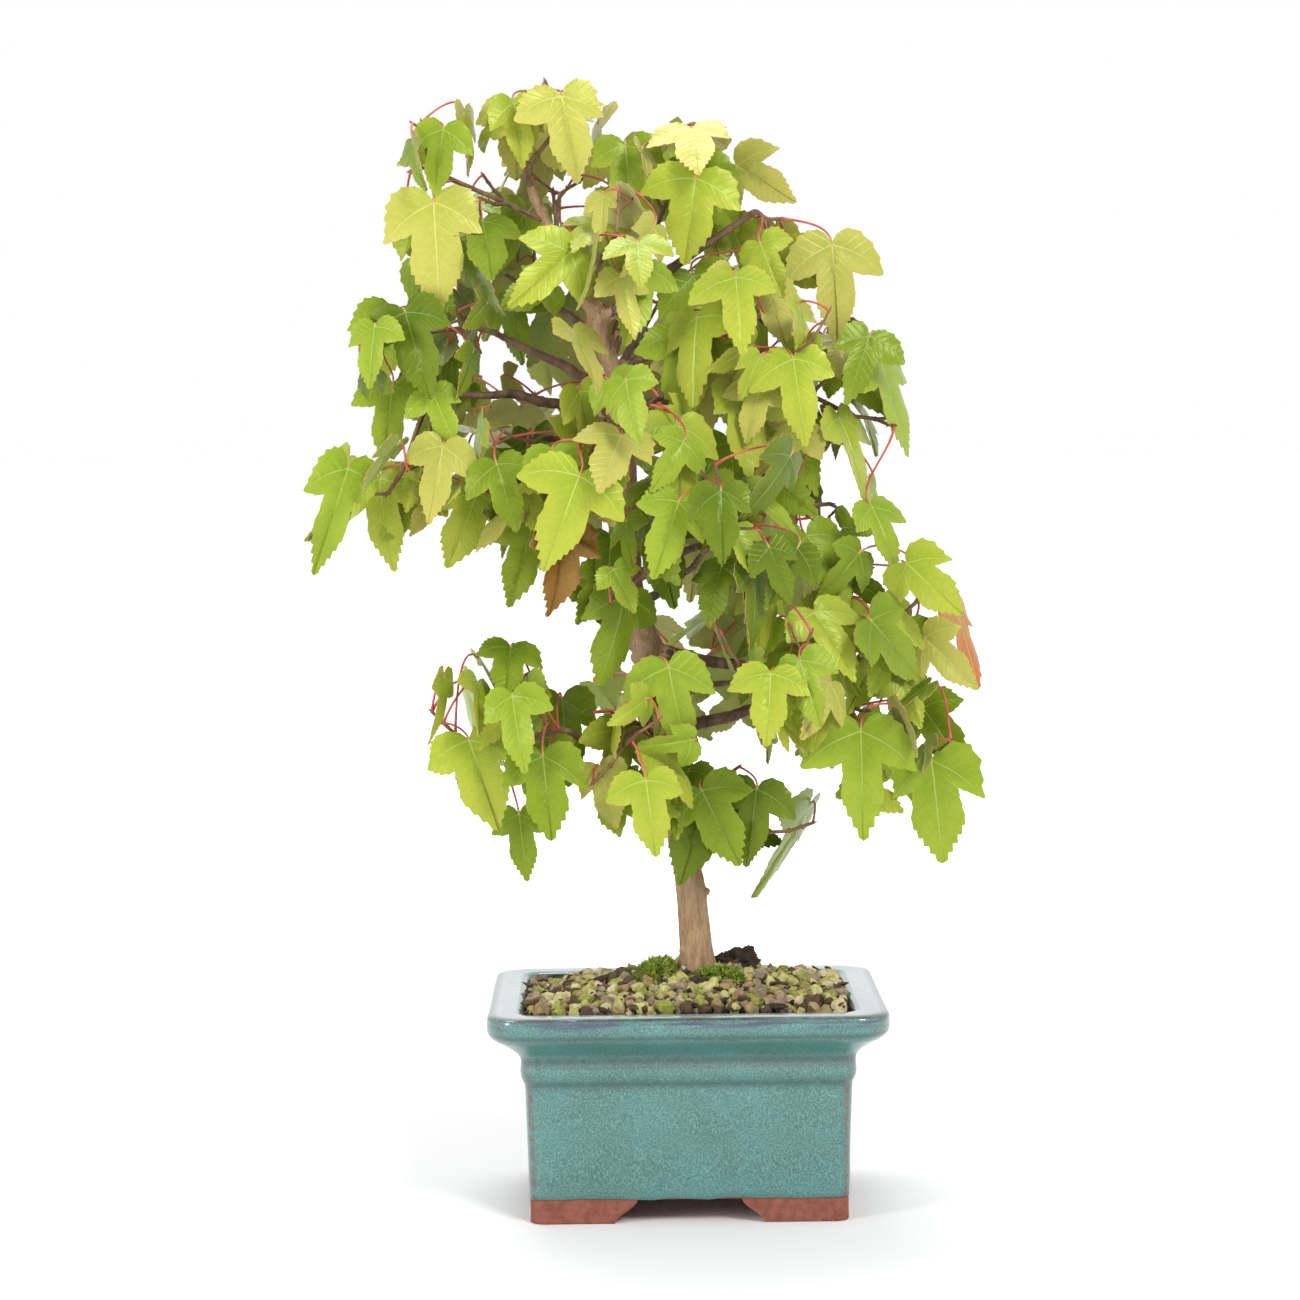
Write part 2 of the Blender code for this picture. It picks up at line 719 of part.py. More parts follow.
def reaching_shoot(root, joint, taken, limbs):
    """A shoot from a bud towards a leaf's joint, or None where something is in its way."""
    tip = joint + unit(root - joint) * STALK_MOST * REACH_SHARE
    middle = mix(root, tip, 0.5) + Vector((0, 0, 1.5))
    clear = Twig([mix(root, middle, 0.3), middle, tip], TWIG_RADIUS, TWIG_TIP).shape(CLEAR)
    if taken.touches(*clear) or limbs.touches(*clear):
        return None
    return Twig([root - unit(middle - root) * ROOT_SINK, middle, tip], TWIG_RADIUS, TWIG_TIP)


def grow_to(joint, axes, size, mass, crown, taken, limbs):
    """Grows a leaf at a set joint, on a bud in reach or else on a shoot of its own."""
    twigs, buds, leaves = crown[mass[0]]
    for bud, leaf in join_to_bud(joint, axes, size, buds):
        if has_room(leaf, mass, ANY_SPACE, taken, limbs):
            add_leaf(bud, leaf, leaves, taken)
            return True
    for root in sorted(buds, key=lambda bud: (bud.point - joint).length)[:SHOOT_TRIES]:
        if (root.point - joint).length < STALK_MOST * REACH_SHARE + STALK_LEAST:
            continue
        shoot = reaching_shoot(root.point, joint, taken, limbs)
        if not shoot:
            continue
        fresh = [Bud(shoot, 0.6), Bud(shoot, 0.95)]
        for bud, leaf in join_to_bud(joint, axes, size, fresh):
            if has_room(leaf, mass, ANY_SPACE, taken, limbs):
                twigs.append(shoot)
                buds += fresh
                root.used.append(unit(shoot.path[1] - root.point))
                limbs.add(*shoot.shape())
                add_leaf(bud, leaf, leaves, taken)
                return True
    return False


def place_leading(mass, crown, taken, limbs):
    """The leaves of a mass that have a place of their own, moved in depth where one has no room."""
    for x, y, z, size, turn, lean, roll in LEADING_LEAVES.get(mass[0], ()):
        axes = leaf_axes(Vector((0, -1, 0)), turn, lean, roll)
        for shift in DEPTH_SHIFTS:
            if grow_to(Vector((x, y + shift, z)), axes, size, mass, crown, taken, limbs):
                break


def place_leaves(mass, crown, taken, limbs, rng):
    """The rest of a mass's leaves, each as far as it can be from those already there."""
    name, carrier, centre, half, count, seed = mass
    twigs, buds, leaves = crown[name]
    centre = Vector(centre)
    for _ in range(count * 6):
        if len(leaves) >= count:
            break
        best, best_gap = None, -1.0
        for _ in range(LEAF_TRIES // 6):
            out = unit(Vector([rng.gauss(0, 1) for _ in range(3)]))
            depth = rng.uniform(0.55, 1.0)
            middle = centre + Vector([o * h * depth for o, h in zip(out, half)])
            size = rng.uniform(LEAF_SHORTEST, LEAF_LONGEST)
            facing = facing_of(middle, rng)
            axes = leaf_axes(facing, rng.gauss(0, 24), rng.uniform(2, 48), rng.gauss(0, 22))
            joint = middle - axes[0] * size * BLADE_MIDDLE
            others = [(joint_at + ax[0] * s * BLADE_MIDDLE - middle).length
                      for joint_at, ax, s, _ in leaves]
            gap = min(others, default=99.0)
            if gap <= best_gap:
                continue
            for bud, leaf in join_to_bud(joint, axes, size, buds):
                if has_room(leaf, mass, SPACE_OVER, taken, limbs):
                    best, best_gap = (bud, leaf), gap
                    break
        if best:
            add_leaf(*best, leaves, taken)


def grow_crown(boughs, limbs):
    """Every mass's shoots and leaves: first all the shoots, then the leading leaves, then the rest."""
    crown = {}
    taken = Shapes()
    for mass in MASSES:
        dice = random.Random(f"{mass[0]} twigs")
        stem = grow_stem(mass, boughs, dice)
        twigs = grow_twigs(mass, stem, dice, limbs)
        for twig in twigs:
            limbs.add(*twig.shape())
        crown[mass[0]] = (twigs, buds_of(twigs), [])
    for mass in MASSES:
        place_leading(mass, crown, taken, limbs)
    for mass in MASSES:
        dice = random.Random(f"{mass[0]} leaves {mass[5]}")
        place_leaves(mass, crown, taken, limbs, dice)
    return crown


def material(name, colour, roughness, metallic=0.0):
    """A plain surface of one colour."""
    made = bpy.data.materials.new(name)
    made.use_nodes = True
    shader = made.node_tree.nodes["Principled BSDF"]
    shader.inputs["Base Color"].default_value = (*colour, 1.0)
    shader.inputs["Roughness"].default_value = roughness
    shader.inputs["Metallic"].default_value = metallic
    made.diffuse_color = (*colour, 1.0)
    return made


def solid(name, verts, faces, finish, smooth=False):
    """An object in metres from points in millimetres."""
    mesh = bpy.data.meshes.new(name)
    mesh.from_pydata([tuple(v * MM) for v in verts], [], faces)
    mesh.materials.append(finish)
    made = bpy.data.objects.new(name, mesh)
    bpy.context.scene.collection.objects.link(made)
    if smooth:
        mesh.shade_smooth()
        mesh.set_sharp_from_angle(angle=math.radians(40))
    return made


def rounded_ring(inset, z, corner):
    """The pot's rounded rectangle, so far in from the rim's edge, at a height."""
    half_x, half_y = POT_LENGTH / 2 - inset, POT_DEPTH / 2 - inset
    points = []
    for quarter, (sx, sy) in enumerate(((1, 1), (-1, 1), (-1, -1), (1, -1))):
        for k in range(CORNER_STEPS + 1):
            a = math.radians(90 * quarter + 90 * k / CORNER_STEPS)
            points.append(Vector((sx * (half_x - corner) + corner * math.cos(a),
                                  sy * (half_y - corner) + corner * math.sin(a), z)))
    return points


def lofted(rings):
    """A closed shape through rings of equal count, capped at both ends."""
    count = len(rings[0])
    verts = [p for ring in rings for p in ring]
    faces = []
    for i in range(len(rings) - 1):
        for k in range(count):
            a, b = i * count + k, i * count + (k + 1) % count
            faces.append((a, b, b + count, a + count))
    faces.append(tuple(reversed(range(count))))
    faces.append(tuple(range(len(verts) - count, len(verts))))
    return verts, faces


def cutter(name, verts, faces, target):
    """Cuts a helper shape out of an object."""
    tool = solid(name, verts, faces, target.data.materials[0])
    tool.hide_render = True
    tool.display_type = "WIRE"
    cut = target.modifiers.new(name, "BOOLEAN")
    cut.operation = "DIFFERENCE"
    cut.solver = "EXACT"
    cut.object = tool


def arch_outline(half_width, steps=6):
    """Half widths and heights of the ogee arch between two feet, from below the ground up."""
    rows = [(half_width + 1.0, -2.0)]
    for k in range(steps + 1):
        t = k / steps
        bend = 0.5 - 0.5 * math.cos(math.pi * t)
        rows.append((half_width - ARCH_SHOULDER * bend, FOOT_HEIGHT * t))
    return rows


def arch_cutter(name, half_width, along, reach, target):
    """A tunnel of the arch's outline under the pot, along X or along Y."""
    rows = arch_outline(half_width)
    outline = [(-w, z) for w, z in rows] + [(w, z) for w, z in reversed(rows)]
    verts = []
    for end in (-reach, reach):
        for w, z in outline:
            verts.append(Vector((w, end, z)) if along == "Y" else Vector((end, -w, z)))
    count = len(outline)
    faces = [(k, (k + 1) % count, (k + 1) % count + count, k + count) for k in range(count)]
    faces += [tuple(reversed(range(count))), tuple(range(count, 2 * count))]
    cutter(name, verts, faces, target)


def make_pot():
    """The pot: rim, cove, ledge and tapering walls, on four corner feet with arches between."""
    glaze = material("teal_glaze", (0.09, 0.27, 0.24), 0.18)
    rings = [rounded_ring(inset, z, POT_CORNER - 0.58 * inset) for inset, z in POT_OUTSIDE]
    rings += [rounded_ring(inset, z, INSIDE_CORNER) for inset, z in POT_INSIDE]
    pot = solid("pot", *lofted(rings), glaze, True)
    foot_inset = POT_OUTSIDE[1][0] + FOOT_WALL
    pocket = [rounded_ring(foot_inset, z, POCKET_CORNER) for z in (-2.0, FLOOR_UNDERSIDE)]
    cutter("foot_pocket", *lofted(pocket), pot)
    arch_cutter("arch_front", ARCH_FRONT, "Y", POT_DEPTH, pot)
    arch_cutter("arch_side", ARCH_SIDE, "X", POT_LENGTH, pot)
    for side in (-1, 1):
        path = [Vector((side * HOLE_PLACE, 0, z)) for z in (5.0, 18.0)]
        cutter(f"drain_hole_{side}", *tube(path, [HOLE_RADIUS] * 2, 16), pot)
    return pot


def soil_height(x, y):
    """The soil's height at a place: a mound round the trunk, and a dip at the back left."""
    dx, dy = x - FOOT_X, y
    out = math.hypot(dx, dy)
    mound = math.exp(-((dx / MOUND_X) ** 2 + (dy / MOUND_Y) ** 2))
    height = SOIL_EDGE + (FOOT_Z - SOIL_EDGE) * mound
    for at_x, at_y, half_x, half_y, rise in (SOIL_DIP, SOIL_CLOD):
        height += rise * math.exp(-(((x - at_x) / half_x) ** 2 + ((y - at_y) / half_y) ** 2))
    level = max(0.0, min(1.0, (out - LEVEL_SPOT) / LEVEL_SPOT))
    return mix(FOOT_Z, height, level)


def make_soil():
    """The soil that fills the pot, clear of its walls."""
    earth = material("soil", (0.12, 0.09, 0.05), 0.9)
    rings = []
    for inset, z in (POT_INSIDE[-1], POT_INSIDE[-2]):
        ring = rounded_ring(inset + SOIL_CLEAR, z, SOIL_CORNER)
        for point in ring:
            point.z = max(point.z, POT_INSIDE[-1][1] + SOIL_CLEAR)
        rings.append(ring)
    edge = rounded_ring(SOIL_INSET, 0, SOIL_CORNER)
    for share in SOIL_SHARES:
        ring = []
        for point in edge:
            x, y = mix(FOOT_X, point.x, share), point.y * share
            ring.append(Vector((x, y, soil_height(x, y))))
        rings.append(ring)
    return solid("soil", *lofted(rings), earth, True)


def make_moss(name, x, y, half_x, half_y, height):
    """A moss cushion: a low dome that follows the soil, a gap clear of it."""
    green = material(name, (0.10, 0.20, 0.02), 0.9)
    rings = []
    for share, rise in MOSS_DOME:
        ring = []
        for k in range(MOSS_SIDES):
            a = math.radians(360 / MOSS_SIDES * k)
            px, py = x + half_x * share * math.cos(a), y + half_y * share * math.sin(a)
            ring.append(Vector((px, py, soil_height(px, py) + GAP + height * rise)))
        rings.append(ring)
    return solid(name, *lofted(rings), green, True)


def join(base, others):
    """Fuses shapes with their base by one union, then keeps only the one closed body."""
    group = bpy.data.collections.new(base.name + "_pieces")
    bpy.context.scene.collection.children.link(group)
    for other in others:
        bpy.context.scene.collection.objects.unlink(other)
        group.objects.link(other)
    union = base.modifiers.new("join", "BOOLEAN")
    union.operation = "UNION"
    union.solver = UNION_SOLVER
    union.operand_type = "COLLECTION"
    union.collection = group
    graph = bpy.context.evaluated_depsgraph_get()
    fused = bpy.data.meshes.new_from_object(base.evaluated_get(graph))
    base.modifiers.clear()
    base.data = fused
    for other in others:
        bpy.data.objects.remove(other)
    bpy.data.collections.remove(group)
    keep_outer_body(base.data)


def keep_outer_body(mesh):
    """Drops loose scraps and the walls of sealed hollows, which leaves the hollows filled."""
    bm = bmesh.new()
    bm.from_mesh(mesh)
    left = set(bm.faces)
    bodies = []
    while left:
        stack = [left.pop()]
        body = list(stack)
        while stack:
            for edge in stack.pop().edges:
                for face in edge.link_faces:
                    if face in left:
                        left.remove(face)
                        stack.append(face)
                        body.append(face)
        bodies.append(body)
    bodies.sort(key=len)
    for body in bodies[:-1]:
        bmesh.ops.delete(bm, geom=body, context="FACES")
    bm.to_mesh(mesh)
    bm.free()


def make_trunk(bark):
    """The trunk, with the healed stubs of old cuts fused on."""
    trunk = solid("trunk", *trunk_shape(), bark, True)
    stubs = []
    for height, way, rise, length, radius in STUBS:
        centre, thick = station(height)
        ahead = compass(way, rise)
        path = [centre, centre + ahead * (thick * 0.8), centre + ahead * (thick + length)]
        radii = [radius * 0.9, radius * 1.15, radius * 0.7]
        stubs.append(solid(f"stub_{height:.0f}", *tube(path, radii, 6), bark))
    join(trunk, stubs)
    return trunk


def make_mass(mass, crown, green, carrier):
    """A mass of leaves on its shoots, fused into one body."""
    name = mass[0]
    twigs, buds, leaves = crown[name]
    stem = twigs[0]
    if isinstance(mass[1], str) or mass[1] >= TRUNK[-1][0]:
        verts, faces = stem.shape()
    else:
        verts, faces = seated_limb(stem.path, stem.radii, 4, carrier)
    whole = solid("foliage_" + name, verts, faces, green)
    pieces = []
    for i, twig in enumerate(twigs[1:]):
        pieces.append(solid(f"{name}_twig_{i}", *twig.shape(), green))
    for i, leaf in enumerate(leaves):
        pieces.append(solid(f"{name}_leaf_{i}", *leaf_shape(leaf), green))
    join(whole, pieces)
    return whole


def centre_on_ground(solids):
    """Moves the whole part, until the ground under the middle of its box is the origin."""
    corners = [v.co for made in solids for v in made.data.vertices]
    low = [min(c[axis] for c in corners) for axis in range(3)]
    high = [max(c[axis] for c in corners) for axis in range(3)]
    shift = Vector((-(low[0] + high[0]) / 2, -(low[1] + high[1]) / 2, -low[2]))
    for made in bpy.data.objects:
        made.data.transform(Matrix.Translation(shift))


def main():
    for old in list(bpy.data.objects):
        bpy.data.objects.remove(old, do_unlink=True)
    bark = material("bark", (0.28, 0.18, 0.10), 0.85)
    young = material("young_bark", (0.16, 0.09, 0.05), 0.8)
    green = material("leaf_green", (0.22, 0.38, 0.04), 0.5)
    make_pot()
    make_soil()
    for row in MOSS:
        make_moss(*row)
    verts, faces = trunk_shape()
    trunk_tree = BVHTree.FromPolygons(verts, faces)
    limbs = Shapes()
    limbs.add(verts, faces)
    boughs = {row[0]: bough_path(row) for row in BOUGHS}
    make_trunk(bark)
    for name, (path, radii) in boughs.items():
        verts, faces = seated_limb(path, radii, BOUGH_SIDES, trunk_tree)
        limbs.add(verts, faces)
        solid("bough_" + name, verts, faces, young, True)
    crown = grow_crown(boughs, limbs)
    for mass in MASSES:
        make_mass(mass, crown, green, trunk_tree)
    centre_on_ground([o for o in bpy.data.objects if not o.hide_render])


if __name__ == "__main__":
    main()
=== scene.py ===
"""The looks of a small trident maple grown as a bonsai, in its teal-glazed pot.

The growing rule is the same as the solids', in millimetres from the ground under the pot's
middle, so that every limb and leaf falls where its solid is. The scene carries it on to finer
shoots and smaller leaves. Pieces are placed in the frame, in metres, when their mesh is made.
"""

import json
import math
import random

import bmesh
import bpy
from mathutils import Matrix, Vector, noise
from mathutils.bvhtree import BVHTree
from mathutils.geometry import delaunay_2d_cdt

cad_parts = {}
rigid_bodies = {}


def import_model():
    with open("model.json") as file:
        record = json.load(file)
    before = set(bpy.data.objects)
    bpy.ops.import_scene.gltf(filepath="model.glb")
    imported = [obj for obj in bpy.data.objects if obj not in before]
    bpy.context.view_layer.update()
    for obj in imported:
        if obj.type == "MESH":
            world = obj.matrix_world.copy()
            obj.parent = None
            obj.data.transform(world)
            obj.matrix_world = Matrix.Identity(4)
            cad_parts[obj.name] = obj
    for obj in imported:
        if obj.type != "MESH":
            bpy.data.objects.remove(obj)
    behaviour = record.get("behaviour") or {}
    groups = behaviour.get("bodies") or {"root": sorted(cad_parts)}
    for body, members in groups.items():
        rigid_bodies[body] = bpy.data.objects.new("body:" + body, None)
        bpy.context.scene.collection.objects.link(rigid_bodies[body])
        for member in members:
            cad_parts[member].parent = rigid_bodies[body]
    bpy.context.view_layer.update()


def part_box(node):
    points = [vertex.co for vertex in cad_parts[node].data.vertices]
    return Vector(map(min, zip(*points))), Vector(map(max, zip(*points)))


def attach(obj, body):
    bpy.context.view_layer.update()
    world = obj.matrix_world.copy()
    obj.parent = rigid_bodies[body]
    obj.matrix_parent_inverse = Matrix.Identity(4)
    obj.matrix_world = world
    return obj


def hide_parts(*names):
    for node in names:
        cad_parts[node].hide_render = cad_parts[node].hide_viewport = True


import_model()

MM = 0.001
POT_LOW, POT_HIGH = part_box("pot")
POT_CENTRE = Vector(((POT_LOW.x + POT_HIGH.x) / 2, (POT_LOW.y + POT_HIGH.y) / 2, POT_LOW.z))
GAP = 0.4
SEAT_GAP = 0.6
SEAT_REACH = 6.0
LIMB_STAND_OFF = 1.6

# Pot
POT_LENGTH = (POT_HIGH.x - POT_LOW.x) / MM
POT_DEPTH = (POT_HIGH.y - POT_LOW.y) / MM
POT_CORNER = 14.0
CORNER_SHRINK = 0.58
CORNER_SPREAD = 0.2
INSIDE_CORNER = 6.5
INSIDE_EASE = (3.9, 7.9)
POCKET_CORNER = 3.0
FOOT_CORNER = 5.2
SOIL_CORNER = 6.0
CORNER_STEPS = 10
SIDE_STEPS = 16
# How far the outside stands in from the rim's edge, and the height there.
POT_OUTSIDE = (
    (14.9, 9.4), (14.7, 17.0), (14.45, 30.0), (13.9, 46.0), (13.6, 52.0), (13.0, 53.6), (12.3, 55.6),
    (12.1, 58.0), (12.3, 61.4), (11.6, 63.6), (9.6, 65.6), (5.9, 68.2), (2.7, 70.2), (0.9, 72.0),
    (0.2, 73.6), (0.0, 75.4), (0.0, 77.6), (0.35, 79.0), (1.5, 79.75),
)
# The same for the inside, from the rim's inner edge down to the floor.
POT_INSIDE = (
    (4.0, 79.95), (6.5, 80.0), (10.5, 79.8), (12.4, 79.4), (13.4, 78.2), (14.2, 75.0), (17.4, 66.0),
    (20.0, 15.0),
)
FOOT_OUTSIDE = ((15.9, 0.0), (15.3, 0.35), (15.25, 1.2), (15.35, 5.0), (15.3, 9.0), (15.3, 12.5))
FOOT_HEIGHT = 9.2
FOOT_WALL = 9.0
FLOOR_UNDERSIDE = 9.8
ARCH_FRONT = 28.0
ARCH_SIDE = 20.0
ARCH_SHOULDER = 8.5
HOLE_RADIUS = 6.0
HOLE_ENDS = (5.0, 14.0)
HOLE_PLACE = 28.0

# Soil, with its mound at the trunk's foot
FOOT_X = 4.6
FOOT_Z = 86.6
SOIL_FLOOR = 20.0
SOIL_EDGE = 78.2
SOIL_INSET = 15.9
MOUND_X = 38.0
MOUND_Y = 30.0
LEVEL_SPOT = 10.0
# A dip at the back left and the swell under the clod: place, half widths and height
SOIL_DIP = (-52, 38, 18, 18, -2.6)
SOIL_CLOD = (20, 14, 8, 6, 3.0)
# Moss cushions: name, centre across and in depth, half sizes, and height.
MOSS = (
    ("moss_left", -11.6, -2.0, 6.4, 8.0, 4.6),
    ("moss_right", 13.6, -11.5, 9.0, 4.0, 3.2),
)

# Trunk stations: height, sideways, depth, radius
TRUNK = (
    (87.0, 4.6, 0.0, 7.6), (91.0, 4.4, 0.0, 6.6), (99.0, 3.9, 0.0, 6.0), (118.0, 2.5, 0.0, 5.7),
    (136.0, -0.6, 0.0, 5.1), (148.0, -2.6, 0.5, 5.3), (170.0, -7.0, 1.0, 4.9), (193.0, -10.8, 1.0, 4.8),
    (206.0, -13.2, 0.5, 5.0), (213.5, -13.8, 0.0, 6.1), (222.0, -15.4, 0.0, 4.4),
    (238.0, -18.8, 0.0, 3.5), (280.0, -20.3, -1.0, 3.4), (313.0, -24.5, -1.0, 3.3),
    (328.0, -28.9, 0.0, 3.4), (337.0, -31.0, 0.0, 4.0), (342.0, -33.6, 0.0, 2.5),
    (348.0, -38.8, 0.0, 1.9), (356.0, -44.2, 0.0, 1.8), (370.0, -47.9, 0.0, 1.8),
    (379.0, -52.4, 0.0, 2.1), (388.5, -56.0, 0.0, 1.8),
)
TRUNK_SIDES = 10
FLARE_TOP = 97.0
ROOT_RIDGES = 4
# Healed stubs on the trunk: height, compass, rise, length beyond the bark, radius
STUBS = (
    (213.5, 176.0, 8.0, 2.6, 2.6),
    (117.0, -8.0, 15.0, 1.6, 1.5),
    (340.0, 60.0, 55.0, 2.6, 2.2),
)

# Boughs: name, height on the trunk, tip (x, y, z), lift and swing of the middle, radius
BOUGHS = (
    ("low_left", 176.0, (-42, -22, 182), -4, 4, 2.2),
    ("right_low", 180.0, (49, -10, 194), 2, 2, 2.6),
    ("back_low", 188.0, (2, 32, 202), 3, 3, 2.2),
    ("right_low_front", 199.0, (15, -29, 201), -3, -3, 1.8),
    ("right_shoulder", 211.0, (61, -14, 207), -7, -3, 2.5),
    ("right_mid_front", 230.0, (5, -33, 247), 2, -4, 1.8),
    ("back_mid_right", 240.0, (10, 33, 251), 3, 5, 2.1),
    ("right_mid", 272.0, (36, -4, 269), -2, 3, 2.2),
    ("back_mid_left", 276.0, (-44, 32, 289), 4, -4, 2.0),
    ("left_mid", 284.0, (-50, -19, 293), 2, 3, 1.9),
    ("left_far", 301.0, (-85, -14, 310), 5, 4, 2.3),
    ("left_upper", 311.0, (-68, -2, 332), 0, -5, 2.2),
    ("right_far", 305.0, (41, 8, 309), 3, 3, 2.0),
    ("back_upper", 318.0, (-14, 33, 334), 3, 3, 1.9),
    ("right_upper", 317.5, (9, -22, 334), 2, -3, 1.9),
    ("left_back", 331.0, (-52, 22, 347), 2, -3, 1.8),
    ("crown_mid", 324.0, (-9, 12, 373), 0, -6, 1.9),
    ("crown_right", 338.0, (26, -8, 376), 2, 6, 2.2),
)
BOUGH_SIDES = 5
BOUGH_STEPS = 5
BOUGH_TIP = 0.55
BOUGH_KINK = 0.9

# Masses: name, what carries the stem (a bough, or a height on the trunk), centre, half sizes,
# leaves, seed
MASSES = (
    ("apex_left", 376.0, (-86, -8, 392), (26, 24, 34), 6, 5),
    ("apex_top", 388.5, (-48, -2, 409), (25, 24, 22), 8, 141),
    ("back_top", 368.0, (-46, 30, 384), (30, 26, 28), 7, 110),
    ("crown_front", 347.0, (-26, -36, 364), (28, 24, 24), 7, 150),
    ("crown_mid", "crown_mid", (0, 8, 392), (32, 24, 24), 8, 29),
    ("crown_right", "crown_right", (38, 0, 350), (32, 26, 26), 7, 116),
    ("left_back", "left_back", (-70, 28, 358), (30, 26, 28), 8, 63),
    ("back_upper", "back_upper", (-12, 54, 335), (40, 28, 34), 8, 76),
    ("right_upper", "right_upper", (28, -28, 326), (34, 28, 32), 9, 61),
    ("right_far", "right_far", (66, 6, 302), (26, 28, 40), 8, 33),
    ("left_upper", "left_upper", (-97, -8, 334), (32, 26, 34), 8, 126),
    ("left_far", "left_far", (-106, -14, 280), (34, 26, 32), 8, 65),
    ("left_mid", "left_mid", (-66, -18, 282), (30, 28, 36), 8, 78),
    ("centre_front", 296.0, (-26, -48, 296), (28, 26, 34), 8, 105),
    ("back_mid_left", "back_mid_left", (-54, 54, 290), (38, 28, 36), 8, 92),
    ("right_mid", "right_mid", (48, 2, 268), (36, 30, 32), 9, 90),
    ("right_mid_front", "right_mid_front", (12, -50, 258), (30, 24, 32), 8, 66),
    ("back_mid_right", "back_mid_right", (24, 52, 256), (38, 28, 34), 8, 88),
    ("waist", 226.0, (-18, -26, 236), (24, 24, 32), 6, 144),
    ("right_shoulder", "right_shoulder", (82, -10, 224), (34, 28, 26), 8, 68),
    ("right_low", "right_low", (76, -8, 174), (38, 28, 34), 8, 78),
    ("right_low_front", "right_low_front", (32, -42, 204), (30, 24, 26), 8, 122),
    ("hanging", 168.0, (24, -14, 148), (32, 24, 28), 5, 52),
    ("low_left", "low_left", (-68, -24, 178), (32, 26, 42), 10, 80),
    ("low_left_inner", 186.0, (-20, -28, 180), (24, 22, 34), 8, 93),
    ("back_low", "back_low", (2, 52, 190), (40, 28, 34), 8, 78),
)

# The leaves that draw the crown's outline, each with its joint (x, y, z), length, turn from
# straight down, lean of the tip towards the front, and roll about its own length
LEADING_LEAVES = {
    "apex_left": (
        (-88, -12, 409, 26, -8, 8, 0), (-92, -18, 382, 41, 3, 8, 5), (-81, 0, 417, 25, 7, 5, 72),
    ),
    "apex_top": ((-44, -16, 421, 33, 13, 5, 20), (-62, -12, 419, 25, 11, 10, 25)),
    "crown_mid": (
        (5, -8, 409, 30, 6, 55, 0), (6, -18, 390, 33, -8, 12, 0), (22, 6, 396, 28, 57, 30, 0),
        (-20, 2, 404, 30, 4, 20, 0),
    ),
    "crown_front": ((-16, -52, 364, 26, 2, 52, 0),),
    "crown_right": ((58, 0, 366, 38, 4, 8, 10), (37, 6, 359, 26, 67, 30, 0)),
    "right_upper": ((20, -36, 352, 33, 4, 38, 0), (41, -26, 322, 33, 8, 10, 0)),
    "right_far": (
        (76, 0, 323, 40, 20, 8, 58), (60, -4, 300, 35, 24, 8, 62), (72, -8, 266, 26, 26, 15, 40),
    ),
    "left_upper": ((-103, -22, 341, 35, 16, 12, -8), (-109, -6, 314, 31, -7, 12, 0)),
    "left_far": (
        (-125, -14, 283, 42, -17, 8, 10), (-115, -4, 279, 36, 6, 10, -15),
        (-89, -30, 291, 30, -11, 10, 0), (-78, 0, 273, 31, -19, 10, 20),
    ),
    "left_mid": ((-69, -30, 284, 27, 16, 15, 0), (-57, -10, 260, 32, -14, 8, 25)),
    "centre_front": ((-38, -62, 280, 37, -21, 12, 0),),
    "right_mid_front": ((13, -68, 274, 27, 0, 20, 0), (-2, -56, 270, 30, -18, 12, 10)),
    "right_shoulder": (
        (84, -20, 245, 30, 46, 30, 0), (92, -6, 216, 28, 45, 20, 0), (105, -2, 229, 36, 17, 5, 66),
    ),
    "right_low": ((66, -28, 183, 42, 1, 5, 0), (94, -12, 170, 40, 6, 8, 0)),
    "right_low_front": ((31, -54, 207, 28, -5, 30, 0),),
    "hanging": (
        (27, -14, 161, 30, -8, 10, 0), (6, -28, 161, 32, 26, 10, 0), (48, -6, 151, 42, -28, 5, 70),
    ),
    "low_left": (
        (-81, -28, 181, 36, 17, 8, 0), (-53, -42, 176, 32, 5, 10, 0), (-63, -14, 151, 26, 6, 8, 0),
        (-90, -22, 205, 26, -3, 5, 75), (-65, -16, 215, 24, -8, 45, 0),
    ),
    "low_left_inner": ((-32, -30, 170, 24, 15, 12, 0), (-15, -46, 167, 29, 7, 8, 0)),
    "waist": ((-22, -20, 234, 35, -14, 8, 35),),
}

# Twigs
STEM_RADIUS = 1.15
STEM_STRAIGHT = 3.0
STEM_BEND = 0.4
STEM_PAST = 0.45
STEM_WANDER = 2.0
STEM_BUDS = (0.36, 0.55, 0.72, 0.93)
SHOOT_BUDS = (0.45, 0.7, 0.95)
TWIG_RADIUS = 0.75
TWIG_TIP = 0.6
FORK_SPACING = 20.8
FORK_PLACES = (0.42, 0.95)
FORK_ANGLE = 52.0
SHOOT_REACH = 0.72
SHOOT_LEAST = 6.0
ROOT_SHARE = 0.3
ROOT_SINK = 0.25

